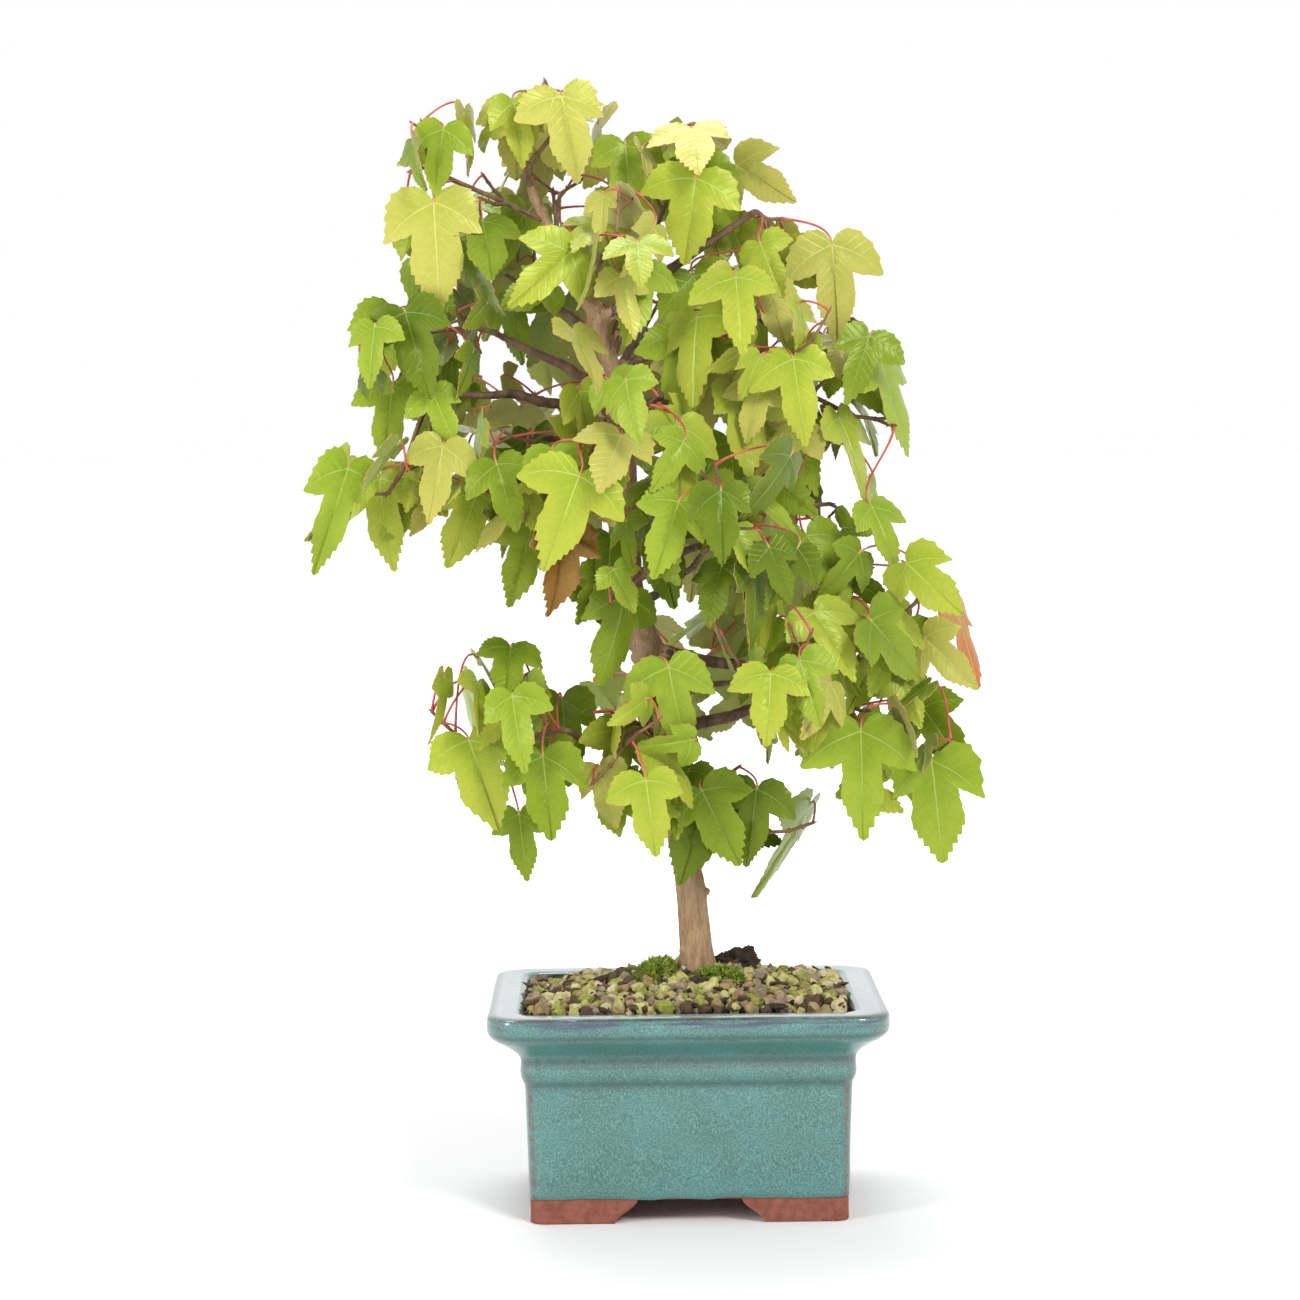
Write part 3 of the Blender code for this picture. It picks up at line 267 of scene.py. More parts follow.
# Leaves. The half outline runs from the joint: along the length, across, and out of the flat.
LEAF_OUTLINE = (
    (-0.05, 0.21, 0.02),
    (0.27, 0.53, -0.05),
    (0.35, 0.185, 0.05),
    (0.64, 0.185, 0.02),
)
LEAF_TIP = (1.0, 0.0, -0.1)
LEAF_HUB = 0.1
LEAF_SIZES = (25.0, 38.0)
LEAF_DEPTHS = (0.55, 1.0)
BLADE_HALF = 0.5
BLADE_MIDDLE = 0.4
CLEAR = 0.55
STALK_RADIUS = 0.45
STALK_LEAST = 9.0
STALK_SHARES = (0.0, 0.6, 1.0)
STALK_MOST = 44.0
STALK_LEAVE = 0.4
STALK_ARRIVE = 0.36
BUD_SPREAD = 0.6
LEAF_TRIES = 60
SHOOT_TRIES = 5
REACH_SHARE = 0.4
ANY_SPACE = 9.0
DEPTH_SHIFTS = (0, -5, 5, -10, 10, 15, -15, 20)
SPACE_OVER = 1.3
AXIS_X = -15.0
FRONT_OF = 22.0

# Finer shoots and smaller leaves, which only the looks have
FINE_PLACES = (0.5, 0.8)
FINE_BUDS = (0.55, 0.95)
FINE_REACH = 15.0
FINE_RADIUS = 0.6
FINE_TIP = 0.4
FINE_SHARE = 0.72
FINE_SHARE_TOP = 0.4
TOP_FROM = 345.0
FINE_WILD = 1.7
FINE_SIZES = (18.0, 33.0)
FINE_DEPTHS = (0.2, 1.0)
FINE_CLEAR = 0.3

# The crown as the front view shows it, in x and z on the upright plane through the trunk: its
# outline, which the finer leaves keep to, and the places where it is open, each with a radius and
# how far back a leaf must stand not to cover it
CROWN_OUTLINE = (
    (-105, 403), (-102, 412), (-82, 420), (-53, 431), (-33, 422), (-21, 406), (5, 416), (17, 411),
    (37, 386), (24, 378), (56, 363), (62, 373), (80, 352), (65, 340), (76, 330), (94, 311), (91, 286),
    (79, 300), (71, 287), (85, 245), (114, 231), (118, 195), (108, 188), (118, 171), (118, 160),
    (102, 128), (90, 157), (72, 137), (45, 167), (20, 161), (41, 151), (58, 149), (30, 112), (12, 134),
    (0, 119), (-2, 130), (-18, 154), (-36, 158), (-53, 147), (-60, 122), (-71, 143), (-97, 164),
    (-93, 204), (-78, 216), (-53, 221), (-56, 206), (-36, 188), (-26, 216), (-47, 229), (-58, 247),
    (-64, 227), (-73, 247), (-108, 245), (-139, 241), (-145, 274), (-130, 292), (-103, 289),
    (-126, 318), (-129, 336), (-126, 344), (-92, 365), (-106, 342), (-121, 363), (-119, 378), (-98, 387),
)
OUTSIDE_MOST = 1
LED_SHARE = 0.2
LED_BEFORE = 3.0
SKY = 999.0
OPENINGS = (
    (18, 172, 9, SKY), (54, 344, 6, SKY), (65, 274, 6, SKY), (-43, 385, 5, SKY), (-79, 388, 4, SKY),
    (-69, 154, 3, SKY), (-85, 284, 3, SKY), (-23, 207, 4, SKY), (59, 258, 4, SKY), (58, 309, 4, SKY),
    (8, 191, 3, SKY), (-72, 320, 3, SKY), (96, 218, 3, SKY), (77, 240, 3, SKY), (-49, 309, 3, SKY),
    (-63, 402, 5, 0), (-57, 390, 5, 0), (-52, 381, 4, 0), (-45, 397, 4, 0), (-40, 408, 3, 4),
    (-30, 341, 6, -2), (-28, 330, 5, -2), (-68, 334, 4, -10), (-58, 327, 4, -8), (-49, 321, 4, -6),
    (-67, 311, 3, -16), (-56, 313, 3, -14), (11, 361, 4, -4), (20, 371, 4, -4), (-4, 354, 3, -2),
    (42, 306, 3, 0), (48, 271, 3, 0), (-21, 278, 3, 0),
    (-12, 219, 6, -4), (-14, 231, 4, -4), (-1, 219, 5, -6), (6, 226, 3, -6), (16, 187, 4, -8),
    (63, 191, 3, -8), (-42, 178, 5, -24), (-32, 170, 4, -26), (-47, 184, 4, -24),
)

# Leaf: stretches of the half edge, from the joint's notch, with how many teeth each has and
# whether it runs towards its lobe's tip. Along the leaf, then across.
LEAF_EDGE = (
    (((0.0, 0.0), (-0.05, 0.03), (-0.11, 0.085)), 1, 0.3, True),
    (((-0.11, 0.085), (-0.14, 0.19), (-0.10, 0.32), (-0.01, 0.43), (0.11, 0.51), (0.25, 0.565)),
     6, 0.9, True),
    (((0.25, 0.565), (0.275, 0.47), (0.295, 0.37), (0.305, 0.28), (0.29, 0.205)), 3, 0.6, False),
    (((0.29, 0.205), (0.38, 0.195), (0.48, 0.205), (0.58, 0.215)), 2, 0.6, True),
    (((0.58, 0.215), (0.67, 0.18), (0.77, 0.125), (0.88, 0.065), (0.985, 0.018)), 5, 1.4, True),
)
TOOTH_DEPTH = 0.025
MAIN_VEINS = (
    ((0.015, 0.0), (0.35, 0.0), (0.7, 0.0), (0.96, 0.0)),
    ((0.015, 0.006), (0.055, 0.2), (0.115, 0.36), (0.21, 0.505)),
)
VEIN_HALF = 0.0068
VEIN_TAPER = 0.25
VEIN_INSIDE = 0.98
LEAF_GRAIN = 0.085
# The grid of points inside a leaf, in leaf lengths: where it starts, how far it goes, how far its
# rows are apart in grains, how much each point is shaken, and how clear it stays of edge and veins
GRID_START = (-0.2, -0.72)
GRID_REACH = 1.3
GRID_ROW = 0.87
GRID_SHAKE = 0.01
GRID_CLEAR = 0.03
LEAF_PATTERNS = 6
LEAF_HALF_THICK = 0.13
LOBE_ANGLE = math.radians(75)
LOBE_SPREAD = math.radians(30)

# Leaf tints: near the veins, towards the edge, underside, and main veins
TINTS = {
    "lime": ((0.27, 0.36, 0.025), (0.38, 0.42, 0.045), (0.38, 0.41, 0.11), (0.40, 0.47, 0.10)),
    "fresh": ((0.19, 0.29, 0.016), (0.28, 0.36, 0.030), (0.31, 0.37, 0.09), (0.32, 0.41, 0.07)),
    "leaf": ((0.13, 0.205, 0.010), (0.20, 0.27, 0.016), (0.25, 0.31, 0.07), (0.24, 0.32, 0.045)),
    "deep": ((0.075, 0.125, 0.005), (0.12, 0.17, 0.008), (0.19, 0.24, 0.06), (0.16, 0.24, 0.03)),
    "olive": ((0.34, 0.36, 0.06), (0.44, 0.41, 0.09), (0.45, 0.43, 0.15), (0.48, 0.46, 0.14)),
    "gold": ((0.38, 0.41, 0.06), (0.49, 0.46, 0.10), (0.50, 0.48, 0.18), (0.53, 0.51, 0.15)),
    "rust": ((0.40, 0.22, 0.05), (0.46, 0.15, 0.05), (0.48, 0.28, 0.14), (0.55, 0.28, 0.14)),
    "dried": ((0.15, 0.07, 0.012), (0.27, 0.13, 0.03), (0.26, 0.14, 0.04), (0.20, 0.10, 0.03)),
}
LEAF_SHEEN = (0.75, 0.85, 0.35, 1.0)
LEAF_MARGIN = ((0.30, 0.16, 0.04, 1.0), (0.55, 0.30, 0.12, 1.0))
# Palettes of tints. The first paints light on the masses in front, the third lightens the low masses as
# painted light, and the fourth paints shade.
PAINTED_LIGHT_TINTS = (("lime", 4), ("fresh", 3), ("gold", 1), ("olive", 1))
MIDDLE = (("lime", 2), ("fresh", 4), ("leaf", 3), ("deep", 1), ("olive", 1))
LOWER_PAINTED_LIGHT_TINTS = (("lime", 4), ("fresh", 5), ("leaf", 2), ("olive", 1))
PAINTED_SHADE_TINTS = (("fresh", 2), ("leaf", 4), ("deep", 3))
PALE = (("olive", 3), ("lime", 3), ("gold", 2))
# The masses whose leaves aren't tinted as in the middle of the crown: painted light on those in front and on
# the low ones, painted shade on those in shade and on the hanging leaves
SPRAY_TINTS = {
    **dict.fromkeys(("crown_front", "crown_right", "right_upper", "centre_front", "right_low_front"), PAINTED_LIGHT_TINTS),
    **dict.fromkeys(("apex_top", "back_top", "back_upper", "back_mid_left"), PALE),
    **dict.fromkeys(("left_upper", "right_mid_front", "waist"), PAINTED_SHADE_TINTS),
    **dict.fromkeys(("right_shoulder", "right_low", "low_left", "low_left_inner", "back_low"), LOWER_PAINTED_LIGHT_TINTS),
    "hanging": (("deep", 3), ("leaf", 2)),
}
# The tints of the first leaves of a mass, which stand out
OWN_TINTS = {
    "apex_left": ("fresh", "gold", "olive"),
    "apex_top": ("gold", "lime"),
    "crown_mid": ("gold", "lime", "olive", "fresh"),
    "crown_front": ("lime",),
    "crown_right": ("olive",),
    "right_upper": ("lime", "lime"),
    "right_far": ("fresh",),
    "left_upper": ("deep", "fresh"),
    "left_far": ("fresh",),
    "centre_front": ("lime",),
    "right_mid_front": ("deep", "fresh"),
    "right_shoulder": ("lime", "olive", "rust"),
    "right_low": ("fresh", "fresh"),
    "right_low_front": ("lime",),
    "hanging": ("deep", "leaf", "leaf"),
}
SLIM = {("left_far", 0): 0.62}
# A dried leaf that hangs on: its mass, and its place as a leading leaf's
DRIED_MASS = "centre_front"
DRIED_PLACE = (-46, -46, 258, 29, 4, 12, 35)
STOREYS = {
    "crown": ("apex_left", "apex_top", "back_top", "crown_front", "crown_mid", "crown_right",
              "left_back", "back_upper", "right_upper", "left_upper"),
    "middle": ("right_far", "left_far", "left_mid", "centre_front", "back_mid_left", "right_mid",
               "right_mid_front", "back_mid_right", "waist"),
    "low": ("right_shoulder", "right_low", "right_low_front", "hanging", "low_left",
            "low_left_inner", "back_low"),
}

# Stalks, limbs and bark
STALK_THICK = 0.42
NODE_SWELL = 0.16
NODE_EVERY = 8.5
BUD_SIZE = 1.4
NODE_HALF = 0.7
WRINKLE = 0.16
TRUNK_GRAIN = 0.5
RIDGE_DEPTH = 0.36
COLLAR = (1.25, 1.2, 1.05, 0.9)
WARTS = (
    (209.0, 160.0, 3.2), (216.0, 250.0, 2.6), (332.0, 200.0, 2.6), (337.5, 120.0, 3.0),
    (341.0, 300.0, 2.2), (96.0, 210.0, 2.6), (158.0, 20.0, 2.0), (379.0, 10.0, 1.6),
)
WOOD_DARK = (0.06, 0.03, 0.018, 1.0)
WOOD_LIGHT = (0.20, 0.11, 0.06, 1.0)
SHOOT_DARK = (0.12, 0.062, 0.022, 1.0)
SHOOT_LIGHT = (0.25, 0.155, 0.055, 1.0)
SHOOT_TIP = (0.17, 0.075, 0.035, 1.0)
STALK_RED = (0.42, 0.045, 0.030, 1.0)
STALK_ROSE = (0.55, 0.13, 0.08, 1.0)
STALK_GREEN = (0.50, 0.40, 0.10, 1.0)
BARK_BROWN = (0.26, 0.15, 0.070, 1.0)
BARK_TAN = (0.38, 0.24, 0.13, 1.0)
BARK_PALE = (0.50, 0.35, 0.20, 1.0)
BARK_SPOT = (0.13, 0.065, 0.03, 1.0)
BARK_DARK = (0.17, 0.09, 0.04, 1.0)
BUD_DARK = (0.10, 0.03, 0.02, 1.0)
BUD_LIGHT = (0.28, 0.10, 0.05, 1.0)

# Pot: heights where the glaze thins, where shade is painted in bands under the ledges, and where it runs,
# each with its half width
GLAZE_LINE = 9.6
GLAZE_SWAY = 0.15
WALL_TOP = 52.0
THIN_EDGES = ((79.3, 0.55),)
# Painted shade: darker glaze in bands on the faces under the lip and ledges, and just above the glaze line.
GLAZE_SHADE_BANDS = ((72.6, 1.0), (61.8, 1.9), (53.0, 1.7), (9.8, 1.0))
RUN_BAND = ((77.4, 1.6),)
GLAZE_TEAL = (0.016, 0.098, 0.086, 1.0)
GLAZE_SEA = (0.036, 0.170, 0.150, 1.0)
GLAZE_PALE = (0.20, 0.46, 0.41, 1.0)
GLAZE_DEEP = (0.010, 0.060, 0.060, 1.0)
# A painted reflection of the light on the rim's top: its pale colour, and the height above which it is
# painted.
GLAZE_RIM_REFLECTION = (0.50, 0.56, 0.62, 1.0)
RIM_REFLECTION_FROM = 79.75
GLAZE_INK = (0.015, 0.03, 0.09, 1.0)
GLAZE_BROWN = (0.085, 0.035, 0.035, 1.0)
CLAY_DARK = (0.17, 0.048, 0.032, 1.0)
CLAY_LIGHT = (0.30, 0.098, 0.068, 1.0)
ARCH_STEPS = 14

# Soil and moss
SOIL_RINGS = 26
SOIL_SINK = 0.8
SCATTER_DENSITY = 4.0e6
EARTH_DARK = (0.015, 0.010, 0.006, 1.0)
EARTH_LIGHT = (0.06, 0.042, 0.022, 1.0)
GRAIN_TINTS = (
    ("cream", (0.42, 0.35, 0.17, 1.0), (0.68, 0.60, 0.36, 1.0)),
    ("sand", (0.30, 0.26, 0.08, 1.0), (0.54, 0.48, 0.18, 1.0)),
    ("straw", (0.36, 0.34, 0.10, 1.0), (0.62, 0.60, 0.26, 1.0)),
    ("mossy", (0.15, 0.17, 0.02, 1.0), (0.38, 0.40, 0.08, 1.0)),
    ("tan", (0.20, 0.13, 0.05, 1.0), (0.42, 0.30, 0.14, 1.0)),
    ("stone", (0.17, 0.125, 0.075, 1.0), (0.38, 0.30, 0.20, 1.0)),
    ("peat", (0.04, 0.022, 0.010, 1.0), (0.12, 0.070, 0.035, 1.0)),
    ("bark", (0.012, 0.008, 0.005, 1.0), (0.055, 0.032, 0.018, 1.0)),
)
CLOD_X = 21.0
CLOD_Y = 13.0
CLOD_HALF = (9.0, 6.0, 7.4)
MOSS_RISE = 1.25
MOSS_DOME = ((1.04, 0.0), (1.0, 0.35), (0.88, 0.68), (0.66, 0.9), (0.4, 1.0), (0.12, 1.03))
MOSS_TINTS = (
    ((0.08, 0.13, 0.008, 1.0), (0.21, 0.28, 0.022, 1.0)),
    ((0.18, 0.24, 0.015, 1.0), (0.40, 0.46, 0.07, 1.0)),
)

# Light and camera. The camera's place is in millimetres from the ground under the pot's middle,
# and its turns are yaw, pitch and roll.
WORLD_STRENGTH = 0.58
LIGHT_AIM = (0.0, 0.0, 0.22)
LIGHTS = (
    ("key_light", (1.0, -1.5, 1.6), 30.0, (0.6, 0.8)),
    ("fill_light", (-1.5, -1.1, 0.8), 15.0, (0.4, 1.0)),
    ("top_light", (-0.2, 0.6, 1.8), 16.0, (1.0, 0.8)),
)
FLOOR_HALF = 30.0
FLOOR_NEAR = 0.2
FLOOR_FAR = 0.9
FLOOR_GLOW = 0.55
CAMERA_PLACE = (-23.51, -1244.48, 296.19)
CAMERA_TURN = (-0.0088, 0.0677, -0.0096)
FOCAL_PIXELS = 3257.3
PHOTO_PIXELS = 1300
SENSOR = 36.0


def mix(a, b, t):
    """The value a share t of the way from a to b."""
    return a + (b - a) * t


def unit(v):
    """The vector at length one."""
    return v / v.length


def compass(degrees, rise=0.0):
    """A direction: 0 is +X and 90 is +Y, raised by so many degrees."""
    a, e = math.radians(degrees), math.radians(rise)
    return Vector((math.cos(a) * math.cos(e), math.sin(a) * math.cos(e), math.sin(e)))


def smooth_path(points, steps):
    """A curve through the points, with so many steps from each to the next."""
    points = [Vector(p) for p in points]
    ends = [points[0] * 2 - points[1], *points, points[-1] * 2 - points[-2]]
    path = []
    for a, b, c, d in zip(ends, ends[1:], ends[2:], ends[3:]):
        for k in range(steps):
            t = k / steps
            path.append(
                (b * 2 + (c - a) * t + (a * 2 - b * 5 + c * 4 - d) * t * t
                 + (b * 3 - a - c * 3 + d) * t ** 3) / 2
            )
    path.append(points[-1])
    return path


def tube_faces(rings, sides):
    """The faces between rings of points, and over both ends."""
    faces = []
    for first in range(0, (rings - 1) * sides, sides):
        for k in range(sides):
            a, b = first + k, first + (k + 1) % sides
            faces.append((a, b, b + sides, a + sides))
    return faces + [tuple(reversed(range(sides))), tuple(range((rings - 1) * sides, rings * sides))]


def tube(path, radii, sides, across=None, ridges=None):
    """The points and faces of a closed tube. across turns its first corner that way."""
    verts = []
    before = unit(path[1] - path[0])
    side = across or before.orthogonal()
    for i, (centre, radius) in enumerate(zip(path, radii)):
        ahead = path[min(i + 1, len(path) - 1)] - path[max(i - 1, 0)]
        along = unit(ahead)
        side = before.rotation_difference(along) @ side
        side = unit(side - along * side.dot(along))
        other = along.cross(side)
        for k in range(sides):
            a = 2 * math.pi * k / sides
            swell = 1 + (ridges(centre, a) if ridges else 0)
            verts.append(centre + (side * math.cos(a) + other * math.sin(a)) * radius * swell)
        before = along
    return verts, tube_faces(len(path), sides)


def station(height):
    """The trunk's centre and radius at a height."""
    for low, high in zip(TRUNK, TRUNK[1:]):
        if height <= high[0]:
            t = (height - low[0]) / (high[0] - low[0])
            z, x, y, r = (mix(a, b, t) for a, b in zip(low, high))
            return Vector((x, y, z)), r
    z, x, y, r = TRUNK[-1]
    return Vector((x, y, z)), r


def root_ridge(centre, angle):
    """How far the root flare's ridges stand out of the trunk's foot."""
    share = max(0.0, (FLARE_TOP - centre.z) / (FLARE_TOP - TRUNK[0][0]))
    return 0.14 * share * math.cos(ROOT_RIDGES * angle + 0.6)


def trunk_shape():
    """The trunk's tube, from its flat cut at the soil to the fork of its leader."""
    path = [Vector((x, y, z)) for z, x, y, r in TRUNK]
    radii = [r for z, x, y, r in TRUNK]
    verts, faces = tube(path, radii, TRUNK_SIDES, Vector((1, 0, 0)), root_ridge)
    for point in verts[:TRUNK_SIDES]:
        point.z = TRUNK[0][0]
    return verts, faces


def seat(ring, along, carrier):
    """Moves a ring back along a limb, until it lies a gap clear of what carries it."""
    seated = []
    for point in ring:
        hit, normal, _, distance = carrier.ray_cast(point + along * SEAT_REACH, -along)
        steep = max(0.5, normal.dot(along)) if hit else 1.0
        seated.append(hit + along * (SEAT_GAP / steep) if hit else None)
    centre = sum(ring, Vector()) / len(ring)
    known = [(p - centre).dot(along) for p in seated if p is not None]
    farthest = min(known) if known else 0.0
    return [p if p is not None else r + along * farthest for p, r in zip(seated, ring)]


def seated_limb(path, radii, sides, carrier):
    """A limb's tube whose foot follows the bark of what carries it, a gap clear of it."""
    verts, faces = tube(path, radii, sides)
    along = unit(path[1] - path[0])
    foot = seat(verts[:sides] + [path[0]], along, carrier)
    verts[:sides] = foot[:sides]
    faces.remove(tuple(reversed(range(sides))))
    verts.append(foot[sides])
    hub = len(verts) - 1
    faces += [((k + 1) % sides, k, hub) for k in range(sides)]
    return verts, faces


def limb_start(height, towards):
    """Where a limb leaves the trunk at a height, going towards a point, and which way."""
    centre, radius = station(height)
    way = unit(towards - centre)
    flat = unit(Vector((way.x, way.y, way.z * 0.5)))
    return centre + flat * (radius + LIMB_STAND_OFF), way


def bough_path(row):
    """A bough's centre line, with small bends at its nodes."""
    name, height, tip, lift, swing, radius = row
    tip = Vector(tip)
    start, way = limb_start(height, tip)
    side = unit(way.cross(Vector((0, 0, 1))))
    middle = (start + tip) / 2 + Vector((0, 0, lift)) + side * swing
    rng = random.Random(name)
    path = []
    for i in range(BOUGH_STEPS + 1):
        t = i / BOUGH_STEPS
        point = start * (1 - t) ** 2 + middle * 2 * t * (1 - t) + tip * t * t
        if 0 < i < BOUGH_STEPS:
            point = point + Vector([rng.uniform(-1, 1) * BOUGH_KINK for _ in range(3)])
        path.append(point)
    radii = [radius * mix(1.12 if i == 0 else 1.0, BOUGH_TIP, i / BOUGH_STEPS)
             for i in range(BOUGH_STEPS + 1)]
    return path, radii


def in_space(point, mass):
    """How far a point is from a mass's centre, where 1 is the edge of its space."""
    name, carrier, centre, half, leaves, seed = mass
    return math.sqrt(sum(((p - c) / h) ** 2 for p, c, h in zip(point, centre, half)))


def keeps_to(point, mass, over):
    """Whether a point is in a mass's own space, or nearly so."""
    own = in_space(point, mass)
    if own > over:
        return False
    return all(in_space(point, other) > own - (over - 1) for other in MASSES if other is not mass)


class Shapes:
    """Placed shapes, to test a new one against."""

    def __init__(self):
        self.placed = []

    def add(self, verts, faces):
        centre = sum(verts, Vector()) / len(verts)
        reach = max((v - centre).length for v in verts)
        self.placed.append((centre, reach, BVHTree.FromPolygons(verts, faces)))

    def touches(self, verts, faces):
        centre = sum(verts, Vector()) / len(verts)
        reach = max((v - centre).length for v in verts)
        near = [tree for c, r, tree in self.placed if (c - centre).length < r + reach]
        if not near:
            return False
        own = BVHTree.FromPolygons(verts, faces)
        return any(own.overlap(tree) for tree in near)


def leaf_axes(facing, turn, lean, roll):
    """A leaf's length, width and face directions. facing is the level way that it looks."""
    across = Vector((-facing.y, facing.x, 0))
    t, e, r = math.radians(turn), math.radians(lean), math.radians(roll)
    hang = across * math.sin(t) - Vector((0, 0, 1)) * math.cos(t)
    length = hang * math.cos(e) + facing * math.sin(e)
    face = unit(facing - length * facing.dot(length))
    width = face.cross(length)
    face, width = (face * math.cos(r) + width * math.sin(r),
                   width * math.cos(r) - face * math.sin(r))
    return length, width, face


def stalk_path(bud, way, joint, axes, shares=STALK_SHARES):
    """A leaf stalk's curve, from a bud over to the leaf's joint, which it comes down to."""
    length, width, face = axes
    span = (joint - bud).length
    aim = unit(joint - bud)
    leave = bud + unit(aim + way * 0.3 + Vector((0, 0, 0.25))) * span * STALK_LEAVE
    level = Vector((length.x, length.y, 0)) + face * 0.2
    arrive = joint - unit(length * 0.8 + level * 0.5 - face * 0.1) * span * STALK_ARRIVE
    path = []
    for t in shares:
        s = 1 - t
        path.append(bud * s ** 3 + leave * 3 * s * s * t + arrive * 3 * s * t * t + joint * t ** 3)
    path[0] = path[0] - unit(path[1] - path[0]) * ROOT_SINK
    return path


def leaf_shape(leaf, grow=0.0):
    """A leaf with its stalk as one closed shape, or grown all round to test for room."""
    joint, axes, size, stalk = leaf
    length, width, face = axes
    verts, faces = [], []
    thick = STALK_RADIUS + grow
    ring = [(-0.87, 0.5), (0.87, 0.5), (0.0, -1.0)]
    rings = len(stalk)
    side = width
    before = length
    for i in reversed(range(rings)):
        along = unit(stalk[i] - stalk[i - 1] if i else stalk[1] - stalk[0])
        if i == rings - 1:
            side, up = width, face
        else:
            side = before.rotation_difference(along) @ side
            side = unit(side - along * side.dot(along))
            up = along.cross(side)
            before = along
        verts += [stalk[i] + side * a * thick + up * b * thick for a, b in ring]
    for i in range(rings - 1):
        for k in range(3):
            a, b = i * 3 + k, i * 3 + (k + 1) % 3
            faces.append((a, b, b + 3, a + 3))
    last = (rings - 1) * 3
    faces.append((last, last + 1, last + 2))
    first = len(verts)
    spread = 1 + grow / size * 3

    def blade(u, v, w):
        return joint + (length * u + width * v + face * w) * size * spread

    verts += [blade(u, -v, w) for u, v, w in LEAF_OUTLINE]
    verts.append(blade(*LEAF_TIP))
    verts += [blade(u, v, w) for u, v, w in reversed(LEAF_OUTLINE)]
    count = len(verts) - first
    top, bottom = len(verts), len(verts) + 1
    hub = blade(LEAF_HUB, 0, 0)
    verts += [hub + face * (BLADE_HALF + grow), hub - face * (BLADE_HALF + grow)]
    for k in range(count - 1):
        a, b = first + k, first + k + 1
        faces += [(top, a, b), (bottom, b, a)]
    left, right = first, first + count - 1
    faces += [(top, 0, left), (top, 1, 0), (top, right, 1)]
    faces += [(bottom, left, 0), (bottom, 0, 2), (bottom, 2, 1), (bottom, 1, right)]
    return verts, faces


def blade_middle(leaf):
    """The middle of a leaf's blade."""
    joint, axes, size, stalk = leaf
    return joint + axes[0] * size * BLADE_MIDDLE


def blade_only(leaf, grow):
    """The blade's flat outline, thickened, without its stalk."""
    joint, axes, size, stalk = leaf
    short = [mix(stalk[-1], stalk[-2], 0.08), stalk[-1]]
    return leaf_shape((joint, axes, size, short), grow)


def stalk_only(leaf, grow):
    """The stalk between its root and the joint, thickened."""
    joint, axes, size, stalk = leaf
    span = (stalk[-1] - stalk[0]).length
    clear = [mix(stalk[0], stalk[1], min(0.8, 7.0 / span)), *stalk[1:-1],
             mix(stalk[-1], stalk[-2], min(0.8, 4.0 / span))]
    return tube(clear, [STALK_RADIUS + grow] * len(clear), 3)


class Twig:
    """A shoot: its centre line, radii, and the nodes where leaves and side shoots leave it."""

    def __init__(self, path, thick, thin, parent=None, share=0.0):
        self.path = path
        self.parent, self.share = parent, share
        self.radii = [mix(thick, thin, i / (len(path) - 1)) for i in range(len(path))]

    def at(self, share):
        place = share * (len(self.path) - 1)
        i = min(int(place), len(self.path) - 2)
        t = place - i
        way = unit(self.path[i + 1] - self.path[i])
        return mix(self.path[i], self.path[i + 1], t), way

    def shape(self, grow=0.0):
        sides = 4 if self.radii[0] > TWIG_RADIUS else 3
        return tube(self.path, [r + grow for r in self.radii], sides)


def grow_stem(mass, boughs, rng):
    """The stem of a mass, from its bough's tip or from the trunk, through its centre."""
    name, carrier, centre, half, leaves, seed = mass
    centre = Vector(centre)
    if isinstance(carrier, str):
        path, radii = boughs[carrier]
        way = unit(path[-1] - path[-2])
        start = path[-1] + way * GAP
        thick = min(STEM_RADIUS, radii[-1])
    else:
        start, way = limb_start(carrier, centre)
        if carrier >= TRUNK[-1][0]:
            way = unit(station(carrier)[0] - station(TRUNK[-2][0])[0])
            start = station(carrier)[0] + way * GAP
        thick = STEM_RADIUS
    span = (centre - start).length
    onward = unit(centre - start)
    end = centre + onward * min(half) * STEM_PAST
    bend = start + way * span * STEM_BEND
    wander = Vector([rng.uniform(-1, 1) for _ in range(3)]) * STEM_WANDER
    middle = mix(bend, mix(start, centre, STEM_PAST), 0.5)
    return Twig([start, start + way * STEM_STRAIGHT, middle, centre + wander, end], thick, TWIG_RADIUS)


def side_shoot(parent, share, spin, reach, rng, mass):
    """A shoot that forks off its parent, bent a little up, cut where it would leave the space."""
    root, way = parent.at(share)
    side = unit(way.orthogonal())
    around = unit(way.cross(side))
    s = math.radians(spin)
    out = side * math.cos(s) + around * math.sin(s)
    fork = math.radians(FORK_ANGLE + rng.uniform(-9, 9))
    heading = unit(way * math.cos(fork) + out * math.sin(fork))
    length = reach * rng.uniform(0.8, 1.15)
    lifted = unit(heading + Vector((0, 0, 0.25)))
    middle = root + heading * length * 0.5
    path = [root, middle, middle + lifted * length * 0.5]
    while length > SHOOT_LEAST and not keeps_to(path[-1], mass, 1.0):
        length *= 0.8
        path[2] = path[1] + (path[2] - path[1]) * 0.6
        path[1] = root + (path[1] - root) * 0.8
    return Twig(path, TWIG_RADIUS, TWIG_TIP, parent, share)


def past_root(path, thick, thin):
    """A shoot without the stretch that lies in what it grows from, to test for room."""
    return Twig([mix(path[0], path[1], ROOT_SHARE), *path[1:]], thick, thin)


